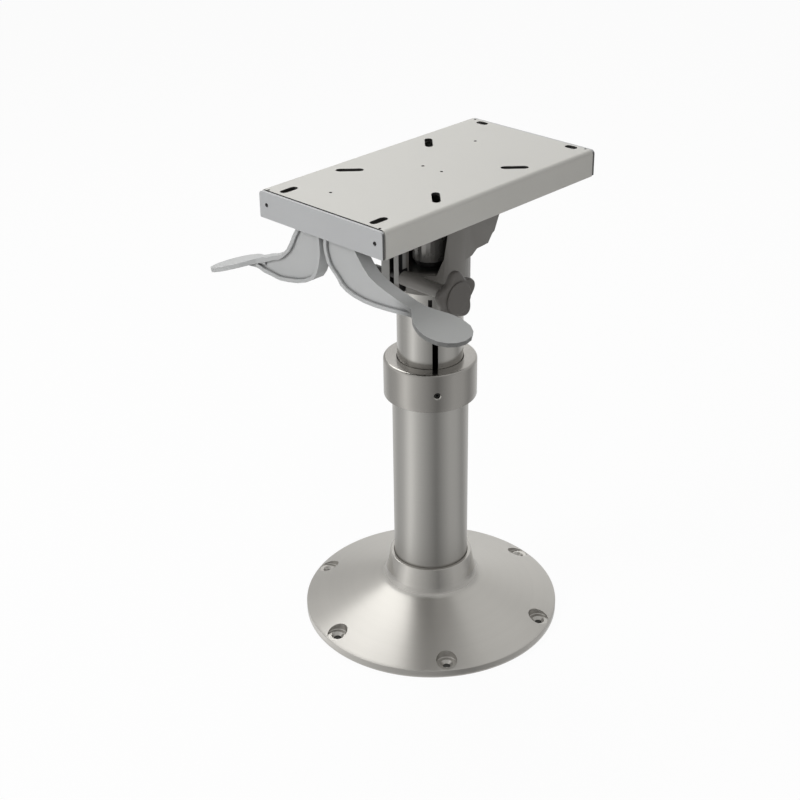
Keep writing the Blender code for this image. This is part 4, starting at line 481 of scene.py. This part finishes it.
# Fixed tube: drawn aluminium of 88.9 mm, brushed round and anodised satin. It stands in the
# flange's socket, carries the collar, and has the key screw's hole near its top.
def tube_finish(name, dark, light, rough, depth, bore):
    """Drawn tube brushed round its axis outside, and dull in its bore, which has painted shade."""
    finish, start = start_finish(name)
    place = object_place(start)
    x, y, z = parts_of(place)
    lines = line_noise(start, z, 420)
    clouds = noise(start, place, 9)
    radius = start.math("SQRT", x * x + y * y)
    # Painted shade: the bore, and the floor of the sight window, are painted near black.
    past_window = z.between(0.40, 0.41, 0.0, 0.0012)
    bore_shade = (radius - past_window).between(bore, bore + 0.0010, 1.0, 0.0)
    outside_colour = (lines * 0.5 + clouds * 0.5).mix(dark, light)
    connect(finish,
            Base_Color=bore_shade.mix(outside_colour, (0.030, 0.029, 0.028, 1)), Metallic=1.0,
            Roughness=lines.between(0.3, 0.7, rough - 0.015, rough + 0.02) + bore_shade * 0.35,
            Anisotropic=0.6, Anisotropic_Rotation=0.25,
            Normal=bump(start, lines, depth))
    return finish


anodised_tube = tube_finish("anodised_tube", (0.42, 0.41, 0.395, 1), (0.48, 0.47, 0.45, 1),
                            0.30, 0.0000012, 0.0417)
fixed_radius, fixed_low, fixed_high = 0.04445, 0.0069, 0.3341
fixed_profile = (
    spread((fixed_radius, fixed_low), (fixed_radius, fixed_high), 12)
    + [(fixed_radius, fixed_high), (0.0439, 0.3347), (0.0419, 0.3347), (0.04145, fixed_high),
       (0.04145, fixed_low), (0.0419, 0.0063), (0.0439, 0.0063)])
fixed_mesh = joined("fixed_tube", ring_mesh("fixed_tube", fixed_profile, 160, closed=True),
                    [key_hole()])
finished_piece("fixed_tube", fixed_mesh, anodised_tube, "outer_tube", "base")


# Sliding tube: drawn aluminium of 76.2 mm, polished because the bushes run on it. A
# round-ended slot for the key screw is milled in it. The small sight window above that is a
# blind recess whose floor is painted near black, as painted shade.
def key_slot_mesh(low, high, half_width, inner, outer):
    """Round-ended slot, cut into the tube from its outside."""
    outline = []
    for middle, first_turn in ((high, 0.0), (low, math.pi)):
        for step in range(13):
            turn = first_turn + math.pi * step / 12
            outline.append((half_width * math.cos(turn), middle + half_width * math.sin(turn)))
    slot = bmesh.new()
    near = [slot.verts.new((x, -inner, z)) for x, z in outline]
    far = [slot.verts.new((x, -outer, z)) for x, z in outline]
    slot.faces.new(near)
    slot.faces.new(far[::-1])
    for step in range(len(outline)):
        after = (step + 1) % len(outline)
        slot.faces.new((near[after], near[step], far[step], far[after]))
    bmesh.ops.recalc_face_normals(slot, faces=slot.faces)
    mesh = bpy.data.meshes.new("key_slot")
    slot.to_mesh(mesh)
    slot.free()
    return mesh


def block(name, low, high):
    """Plain block, used as a cutter, a filler or a dark sheet for painted shade."""
    mesh = bpy.data.meshes.new(name)
    solid = bmesh.new()
    bmesh.ops.create_cube(solid, size=1.0)
    for vertex in solid.verts:
        vertex.co = [low[axis] + (vertex.co[axis] + 0.5) * (high[axis] - low[axis])
                     for axis in range(3)]
    solid.to_mesh(mesh)
    solid.free()
    return mesh


polished_tube = tube_finish("polished_tube", (0.40, 0.39, 0.375, 1), (0.45, 0.44, 0.42, 1),
                            0.17, 0.0000008, 0.0354)
sliding_radius, sliding_bore, sliding_low, sliding_high = 0.0381, 0.0351, 0.2006, 0.4542
window_azimuth, window_half_width = 0.753982, 0.0023
sliding_profile = (
    spread((sliding_radius, sliding_low), (sliding_radius, sliding_high), 12)
    + [(sliding_radius, sliding_high), (0.0373, 0.455), (0.0356, 0.455), (sliding_bore, 0.4545),
       (sliding_bore, 0.2005), (0.0356, 0.2), (0.0375, 0.2)])
key_slot = key_slot_mesh(key_height - 0.050, key_height + 0.090, key_radius, 0.028, 0.042)
key_slot.transform(Matrix.Rotation(key_azimuth, 4, "Z"))
sight_window = block("sight_window", (-window_half_width, -0.042, 0.4195),
                     (window_half_width, -0.0358, 0.4285))
sight_window.transform(Matrix.Rotation(window_azimuth, 4, "Z"))
sliding_mesh = joined(
    "sliding_tube", ring_mesh("sliding_tube", sliding_profile, 160, closed=True),
    [key_slot, sight_window])
sliding_tube = finished_piece("sliding_tube", sliding_mesh, polished_tube, "inner_tube", "post")
break_edges(sliding_tube, 0.00025)


# Rods and springs: bright drawn steel. The gas spring's rod and the push rod stand in the
# post, and the two square release rods with their return springs lie under the plate.
def paint_node(finish, *names):
    """Give frame nodes a finish."""
    for name in names:
        mesh = nodes[name].data
        mesh.materials.clear()
        mesh.materials.append(finish)


def steel_finish(name, dark, light, rough, metallic=1.0):
    """Plain steel with slight clouding."""
    finish, start = start_finish(name)
    place = object_place(start)
    clouds = noise(start, place, 60)
    fine = noise(start, place, 900, 2.0)
    connect(finish, Base_Color=clouds.mix(dark, light), Metallic=metallic,
            Roughness=clouds.between(0.3, 0.7, rough - 0.05, rough + 0.06),
            Normal=bump(start, fine, 0.00001))
    return finish


bright_steel = steel_finish("bright_steel", (0.50, 0.49, 0.47, 1), (0.60, 0.59, 0.57, 1), 0.2)
paint_node(bright_steel, "gas_spring_rod", "release_push_rod", "left_release_rod",
           "right_release_rod", "left_return_spring", "right_return_spring")


# Swivel spindle and its sleeve: ground steel, greyer than the rods, and the spindle is darker
# still. The spindle is fixed in the sliding tube, and the head turns on it with the sleeve.
ground_steel = steel_finish("ground_steel", (0.30, 0.292, 0.28, 1), (0.36, 0.352, 0.34, 1),
                            0.26, 0.55)
spindle_steel = steel_finish("spindle_steel", (0.15, 0.145, 0.14, 1), (0.20, 0.195, 0.19, 1), 0.36)
paint_node(ground_steel, "spindle_sleeve")
paint_node(spindle_steel, "swivel_spindle")


# Pressings and fasteners: zinc plated steel, slightly yellow and dull. The carriage is bolted
# on the head, and the brackets, pins and fingers work the release inside the plate.
zinc_steel = steel_finish("zinc_steel", (0.40, 0.40, 0.38, 1), (0.50, 0.50, 0.47, 1), 0.38)
paint_node(zinc_steel, "socket_floor", "gas_spring_guide", "spindle_washer", "spindle_nut",
           "knob_washer", "slide_carriage", "bolt_front_left", "bolt_front_right",
           "bolt_rear_left", "bolt_rear_right", "crank_bracket", "release_crank",
           "front_rod_bracket", "rear_rod_bracket", "left_lever_pin", "right_lever_pin",
           "left_stop_finger", "slide_lock_finger")


# Black steel: the oiled key screw, the painted gas spring cylinder and the hardened thrust
# bearing, and the clamp stud, which is black as painted shade.
black_steel, black = start_finish("black_steel")
black_clouds = noise(black, object_place(black), 80)
connect(black_steel,
        Base_Color=black_clouds.mix((0.018, 0.018, 0.018, 1), (0.035, 0.034, 0.033, 1)),
        Metallic=0.4, Roughness=black_clouds.between(0.3, 0.7, 0.34, 0.5))
paint_node(black_steel, "clamp_stud", "collar_key_screw", "gas_spring_cylinder",
           "thrust_bearing")


# Bushes and shoes: natural acetal, moulded and milky, with an uneven gloss. The bushes guide
# the sliding tube and the swivel, and the shoes guide the seat plate.
shoe_plastic, acetal = start_finish("shoe_plastic")
acetal_place = object_place(acetal)
acetal_clouds = noise(acetal, acetal_place, 45)
connect(shoe_plastic,
        Base_Color=acetal_clouds.mix((0.62, 0.61, 0.57, 1), (0.72, 0.71, 0.68, 1)),
        Roughness=acetal_clouds.between(0.3, 0.7, 0.36, 0.52), Metallic=0.0,
        Normal=bump(acetal, noise(acetal, acetal_place, 700), 0.00002))
paint_node(shoe_plastic, "upper_guide_bush", "lower_guide_ring", "swivel_bush",
           "shoe_front_left", "shoe_front_right", "shoe_rear_left", "shoe_rear_right")


# Head casting: gravity cast aluminium with a split clamp ring, two wings and a slotted front
# column, sprayed grey. The paint has a faint orange peel. The column's front is lighter, as a
# painted highlight, and the slot, the clamp gap and the column's right side are near black, as
# painted shade.
def paint_finish(name, dark, light, rough, peel, grain):
    """Sprayed satin paint with orange peel over the casting's grain, and painted shade in crevices.
    """
    finish, start = start_finish(name)
    place = object_place(start)
    clouds = noise(start, place, 11)
    waves = noise(start, place, 420, 2.0)
    pits = noise(start, place, 1500, 2.0)
    # Painted shade: corners and creases darken towards a near black copy of the paint.
    open_sky = start.add("ShaderNodeAmbientOcclusion", {"samples": 8, "only_local": True},
                         {"Distance": 0.005}, 1)
    crevice_shade = open_sky.between(0.35, 0.85, 0.75, 0.0)
    colour = crevice_shade.mix(clouds.mix(dark, light), [part * 0.12 for part in dark[:3]] + [1])
    connect(finish, Base_Color=colour, Metallic=0.0,
            Roughness=clouds.between(0.3, 0.7, rough - 0.05, rough + 0.06),
            Normal=bump(start, waves * peel + pits * grain, 0.0001))
    return finish


def object_facing(start):
    """Which way a point faces on its object, as three parts."""
    return parts_of(start.add("ShaderNodeTexCoord", output=1))


def colour_over(finish, mask, colour):
    """Lay a colour over what a finish has, where the mask is 1."""
    shader = finish.node_tree.nodes["Principled BSDF"]
    under = Shade(finish.node_tree, shader.inputs["Base Color"].links[0].from_socket)
    connect(finish, Base_Color=mask.mix(under, colour))


column_left, column_right, column_front = -0.0240, 0.0023, -0.0524
slot_left, slot_right, slot_back = -0.0120, -0.0050, -0.0392
slot_low, slot_high = 0.4405, 0.5080
gap_right, gap_high, head_low = 0.0053, 0.4640, 0.4300
slot_middle, slot_half = (slot_left + slot_right) / 2, (slot_right - slot_left) / 2
gap_middle, gap_half = (column_right + gap_right) / 2, (gap_right - column_right) / 2
column_middle, column_half = (column_left + column_right) / 2, (column_right - column_left) / 2

grey_paint = paint_finish("grey_paint", (0.168, 0.160, 0.149, 1), (0.200, 0.191, 0.178, 1),
                          0.36, 0.5, 0.5)
head_start = Shade(grey_paint.node_tree)
head_x, head_y, head_z = parts_of(object_place(head_start))
# Painted shade: the walls of the slot and of the clamp gap, and the column's right side, are near
# black.
in_slot = (head_start.math("ABSOLUTE", head_x - slot_middle)
           .between(slot_half + 0.00002, slot_half + 0.0002, 1.0, 0.0)
           * head_z.between(slot_low - 0.0007, slot_low - 0.0003)
           * head_z.between(slot_high + 0.0002, slot_high + 0.0006, 1.0, 0.0))
in_gap = (head_start.math("ABSOLUTE", head_x - gap_middle)
          .between(gap_half + 0.00002, gap_half + 0.0002, 1.0, 0.0)
          * head_z.between(gap_high - 0.0002, gap_high + 0.0003, 1.0, 0.0))
cut_wall_shade = (in_slot.math("MAXIMUM", in_slot, in_gap)
             * head_y.between(column_front + 0.0003, column_front + 0.0012)
             * head_y.between(slot_back + 0.0004, slot_back + 0.0008, 1.0, 0.0))
column_side_shadow = (object_facing(head_start)[0].between(0.5, 0.8)
               * head_y.between(column_front + 0.0054, column_front + 0.0069, 1.0, 0.0)
               * head_z.between(gap_high - 0.0020, gap_high)
               * head_start.math("ABSOLUTE", head_x - column_right).between(0.0002, 0.0004,
                                                                            1.0, 0.0))
# Painted highlight: the column's front is lighter.
column_front_highlight = (head_start.math("ABSOLUTE", head_x - column_middle)
             .between(column_half - 0.00005, column_half + 0.00035, 1.0, 0.0)
             * head_y.between(column_front + 0.0104, column_front + 0.0124, 1.0, 0.0)
             * head_z.between(gap_high - 0.0180, gap_high - 0.0140))
colour_over(grey_paint, column_front_highlight, (0.325, 0.322, 0.312, 1))
colour_over(grey_paint, cut_wall_shade.math("MAXIMUM", cut_wall_shade, column_side_shadow),
            (0.006, 0.006, 0.006, 1))

head_mesh = joined(
    "head_casting", nodes["swivel_head"].data.copy(),
    [block("ear_room", (-0.0420, -0.0650, head_low), (-0.0145, -0.0354, 0.5312)),
     block("boss_end", (-0.0145, -0.0650, head_low), (0.0040, -0.0405, 0.4700))])
head_mesh = joined(
    "head_casting", head_mesh,
    [block("head_column", (column_left, column_front, 0.4372), (column_right, -0.0362, 0.5330))],
    "UNION")
head_mesh = joined(
    "head_casting", head_mesh,
    [block("column_slot", (slot_left, -0.070, slot_low), (slot_right, slot_back, slot_high)),
     block("clamp_gap", (column_right, -0.070, head_low), (gap_right, -0.0330, gap_high))])
head_casting = finished_piece("head_casting", head_mesh, grey_paint, "swivel_head", "head",
                              35)
break_edges(head_casting, 0.0008, 40)


# Seat plate: an extruded aluminium channel with a running track and a screw port along each
# side, punched, and sprayed light grey on its outside. The walls of its slots and the hollow
# below are painted near black, as painted shade.
plate_underside, plate_inside = 0.5623, 0.08725

plate_paint = paint_finish("plate_paint", (0.505, 0.498, 0.470, 1), (0.545, 0.538, 0.510, 1),
                           0.40, 0.35, 0.1)
plate_start = Shade(plate_paint.node_tree)
plate_x, plate_y, plate_z = parts_of(object_place(plate_start))
lies_flat = plate_start.math("ABSOLUTE", object_facing(plate_start)[2])
off_middle = plate_start.math("ABSOLUTE", plate_x)
# Painted shade: the slots' walls and the hollow below go near black.
slot_walls = (lies_flat.between(0.5, 0.8, 1.0, 0.0)
              * plate_z.between(plate_underside - 0.0015, plate_underside - 0.0009)
              * off_middle.between(plate_inside - 0.00075, plate_inside - 0.00005, 1.0, 0.0))
hollow = (plate_z.between(plate_underside - 0.0005, plate_underside + 0.0001, 1.0, 0.0)
          * off_middle.between(plate_inside - 0.00045, plate_inside + 0.00015, 1.0, 0.0))
slot_and_hollow_shade = slot_walls.math("MAXIMUM", slot_walls, hollow * 0.8)
colour_over(plate_paint, slot_and_hollow_shade, (0.022, 0.021, 0.020, 1))
paint_node(plate_paint, "seat_plate")
break_edges(nodes["seat_plate"], 0.0003, 40)


# End caps: two flat covers of painted sheet, screwed on the plate's ends. Their cut edges at
# the sides are painted dark, as painted shade.
cap_paint = paint_finish("cap_paint", (0.43, 0.437, 0.446, 1), (0.47, 0.478, 0.487, 1),
                         0.38, 0.3, 0.1)
cap_start = Shade(cap_paint.node_tree)
# Painted shade: the caps' side edges are dark.
cap_edge_shade = cap_start.math("ABSOLUTE", object_facing(cap_start)[0]).between(0.75, 0.95)
colour_over(cap_paint, cap_edge_shade, (0.07, 0.07, 0.07, 1))
paint_node(cap_paint, "front_end_cap", "rear_end_cap")
break_edges(nodes["front_end_cap"], 0.0004, 40)
break_edges(nodes["rear_end_cap"], 0.0004, 40)


# Levers: two aluminium castings, each a curved channel that runs out into a flat paddle, on
# hubs under the plate's front. They are sprayed light grey. The right paddle is painted darker,
# as painted shade, and less dark on its faces that point up.
def along_line(points, at):
    """Value at a place on a line of (place, value) points."""
    if at <= points[0][0]:
        return points[0][1]
    for (start, low), (end, high) in zip(points, points[1:]):
        if at <= end:
            part = (at - start) / (end - start)
            part = part * part * (3 - 2 * part)
            return low + (high - low) * part
    return points[-1][1]


hub_x, hub_z = 0.024, 0.553
lever_colours = (0.435, 0.442, 0.444, 1), (0.485, 0.492, 0.494, 1)
lever_paint = paint_finish("lever_paint", *lever_colours, 0.38, 0.5, 0.3)
# Painted shade: the right paddle is darker, and less dark where it faces up.
shaded_paddle_paint = paint_finish("shaded_paddle_lever_paint", *lever_colours, 0.38, 0.5, 0.3)
shaded_paddle_start = Shade(shaded_paddle_paint.node_tree)
shaded_paddle_x = parts_of(object_place(shaded_paddle_start))[0]
faces_up = object_facing(shaded_paddle_start)[2].between(0.2, 0.6)
colour_over(shaded_paddle_paint, shaded_paddle_x.between(0.094, 0.125),
            faces_up.mix((0.15, 0.152, 0.150, 1), (0.285, 0.290, 0.288, 1)))


def dressed_lever(name, node, body, side, lift, finish, lower_edge, upper_edge, lower_rise,
                  upper_rise, inner_shift):
    """Casting with the swell and set of its arm and paddle, and its parting edge rounded."""
    mesh = nodes[node].data.copy()
    arm = bmesh.new()
    arm.from_mesh(mesh)
    cuts = [((side * (hub_x + step * 0.0045), 0, 0), (1, 0, 0)) for step in range(2, 37)]
    cuts += [((0, 0, hub_z - step * 0.005), (0, 0, 1)) for step in range(2, 18)]
    cuts += [((0, -0.178 + step * 0.0055, 0), (0, 1, 0)) for step in range(9)]
    for place, across in cuts:
        bmesh.ops.bisect_plane(arm, geom=arm.verts[:] + arm.edges[:] + arm.faces[:],
                               plane_co=place, plane_no=across, dist=0.00001)
    arm.to_mesh(mesh)
    arm.free()
    for vertex in mesh.vertices:
        across, height = side * vertex.co.x - hub_x, vertex.co.z - hub_z
        out = across * math.cos(lift) + height * math.sin(lift)
        up = height * math.cos(lift) - across * math.sin(lift)
        low, high = along_line(lower_edge, out), along_line(upper_edge, out)
        share = min(1.0, max(0.0, (up - low) / max(high - low, 0.002)))
        rise = along_line(lower_rise, out)
        rise += (along_line(upper_rise, out) - rise) * share
        inner = along_line([(-0.030, 1.0), (0.010, 0.0)], out)
        vertex.co.z += rise
        vertex.co.x += side * inner * along_line(inner_shift, up)
    lever = finished_piece(name, mesh, finish, node, body, 35)
    break_edges(lever, 0.0007, 40)


dressed_lever(
    "left_lever_casting", "left_lever", "height_lever", -1, 0.0, lever_paint,
    lower_edge=[(-0.02, -0.045), (0.0, -0.071), (0.048, -0.085), (0.10, -0.089)],
    upper_edge=[(0.0, 0.0), (0.0245, -0.0305), (0.034, -0.0465), (0.053, -0.059),
                (0.082, -0.077)],
    lower_rise=[(-0.02, 0.0), (0.0, -0.0025), (0.045, -0.0025), (0.070, 0.0010),
                (0.085, 0.0050), (0.150, 0.0040)],
    upper_rise=[(0.028, 0.0), (0.046, -0.0030), (0.062, 0.0010), (0.080, 0.0058),
                (0.100, 0.0050), (0.150, 0.0040)],
    inner_shift=[(-0.09, 0.0), (-0.03, 0.0)])
dressed_lever(
    "right_lever_casting", "right_lever", "slide_lever", 1, math.radians(11), shaded_paddle_paint,
    lower_edge=[(-0.035, -0.04), (-0.0085, -0.0695), (0.048, -0.0848), (0.098, -0.089)],
    upper_edge=[(0.0, 0.0), (0.0195, -0.0305), (0.032, -0.0505), (0.053, -0.064),
                (0.082, -0.077)],
    lower_rise=[(0.080, 0.0), (0.105, -0.0028), (0.155, -0.0034)],
    upper_rise=[(0.080, 0.0), (0.105, -0.0028), (0.155, -0.0034)],
    inner_shift=[(-0.078, 0.0), (-0.066, 0.0040), (-0.055, 0.0085), (-0.040, 0.0045),
                 (-0.024, 0.0030)])


# Star knob: five lobes of dark grey moulded plastic on a round boss, with a fine eroded
# texture. It is screwed on the clamp stud, and a plain cap closes its front.
knob_back, lobes_back, knob_front = 0.068, 0.076, 0.086
knob_sides, knob_axis_y, knob_axis_z = 160, -0.048, 0.4555
lobe_middle, lobe_swell, first_lobe = 0.02625, 0.00375, 0.331613
round_edge, bore = 0.0039, 0.0043

knob_plastic, moulded = start_finish("knob_plastic")
moulded_place = object_place(moulded)
moulded_clouds = noise(moulded, moulded_place, 30)
connect(knob_plastic,
        Base_Color=moulded_clouds.mix((0.085, 0.079, 0.073, 1), (0.115, 0.107, 0.099, 1)),
        Roughness=moulded_clouds.between(0.3, 0.7, 0.42, 0.56), Metallic=0.0,
        Normal=bump(moulded, noise(moulded, moulded_place, 1300, 2.0), 0.00006))
paint_node(knob_plastic, "knob_cap")
break_edges(nodes["knob_cap"], 0.0004, 40)

knob_rows = [(knob_back, 0.0, bore), (knob_back, 0.0, 0.0119), (knob_back + 0.0003, 0.0, 0.0127),
             (knob_back + 0.0010, 0.0, 0.0130), (lobes_back - 0.0028, 0.0, 0.0131),
             (lobes_back - 0.0010, 0.0, 0.0137), (lobes_back - 0.0002, 0.1, 0.0150)]
for step in range(13):
    turn = math.pi * step / 12
    half = (knob_front - lobes_back) / 2
    knob_rows.append((lobes_back + half - half * math.cos(turn), 1.0,
                      round_edge * (1 - math.sin(turn))))
knob_rows += [(knob_front, 0.0, 0.0170), (knob_front, 0.0, bore)]
knob_points, knob_faces = [], []
for along, star, size in knob_rows:
    for side in range(knob_sides):
        turn = math.tau * side / knob_sides
        swell = lobe_swell * math.cos(5 * (turn - first_lobe))
        reach = lobe_middle + swell - size if star == 1.0 else size + swell * star * 3
        knob_points.append((along, knob_axis_y + reach * math.cos(turn),
                            knob_axis_z + reach * math.sin(turn)))
for row in range(len(knob_rows)):
    this_row, next_row = row * knob_sides, (row + 1) % len(knob_rows) * knob_sides
    for side in range(knob_sides):
        after = (side + 1) % knob_sides
        knob_faces.append((this_row + side, this_row + after, next_row + after, next_row + side))
knob_mesh = bpy.data.meshes.new("star_grip")
knob_mesh.from_pydata(knob_points, [], knob_faces)
finished_piece("star_grip", knob_mesh, knob_plastic, "star_knob", "clamp_knob", 45)


# End cap screws: four machine screws of blackened steel with a pan head and a cross recess,
# threaded below the head. They hold the two end caps on the plate, sunk in the caps' holes.
screw_x, core_radius, thread_radius, pitch_step = 0.07975, 0.00105, 0.0013, 0.0004
for end, inwards in (("front", 1), ("rear", -1)):
    for side_name, side_x in (("left", -screw_x), ("right", screw_x)):
        name = "cap_screw_" + end + "_" + side_name
        low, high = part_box(name)
        face_y, inner_y = (low[1], high[1]) if inwards > 0 else (high[1], low[1])
        length = abs(inner_y - face_y)
        rings = [(0, 0.0), (0.0009, 0.00003), (0.0015, 0.00018), (0.0019, 0.0005),
                 (0.0021, 0.0009), (0.0021, 0.0027), (thread_radius, 0.0029)]
        for step in range(int((length - 0.0040) / pitch_step)):
            rings.append((thread_radius if step % 2 else core_radius, 0.0032 + pitch_step * step))
        rings += [(0.0009, length), (0, length)]
        recess = []
        for wide, tall in ((0.00115, 0.00025), (0.00025, 0.00115)):
            corners = [(-wide, -tall), (wide, -tall), (wide, tall), (-wide, tall)]
            points = [(x, y, -0.0005) for x, y in corners]
            points += [(x * 0.55, y * 0.8, 0.0011) for x, y in corners]
            arm = bpy.data.meshes.new("cross_recess")
            arm.from_pydata(points, [], [(3, 2, 1, 0), (4, 5, 6, 7), (0, 1, 5, 4), (1, 2, 6, 5),
                                         (2, 3, 7, 6), (3, 0, 4, 7)])
            recess.append(arm)
        screw_mesh = joined(name, solid_turned(name, rings, 28), recess)
        screw_mesh.transform(Matrix.Translation((side_x, face_y, (low[2] + high[2]) / 2))
                             @ Matrix.Rotation(-inwards * math.pi / 2, 4, "X"))
        finished_piece("machine_screw_" + end + "_" + side_name, screw_mesh, black_steel, name,
                       "seat_slide")


# Shade sheets: two thin plates of the knob's plastic just below the seat plate, which show dark
# through its front slots as painted shade. They are a guess, and nothing that holds them is
# modelled.
shade_sheet_x, shade_sheet_half_width, shade_sheet_front, shade_sheet_back = 0.066, 0.010, -0.1585, -0.1220
shade_sheet_low, shade_sheet_high = 0.5600, 0.5616
for side_name, side_x in (("left", -shade_sheet_x), ("right", shade_sheet_x)):
    name = "slot_pad_" + side_name
    shade_sheet_mesh = block(name, (side_x - shade_sheet_half_width, shade_sheet_front, shade_sheet_low),
                     (side_x + shade_sheet_half_width, shade_sheet_back, shade_sheet_high))
    shade_sheet_mesh.materials.append(knob_plastic)
    shade_sheet = bpy.data.objects.new(name, shade_sheet_mesh)
    scene.collection.objects.link(shade_sheet)
    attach(shade_sheet, "seat_slide")
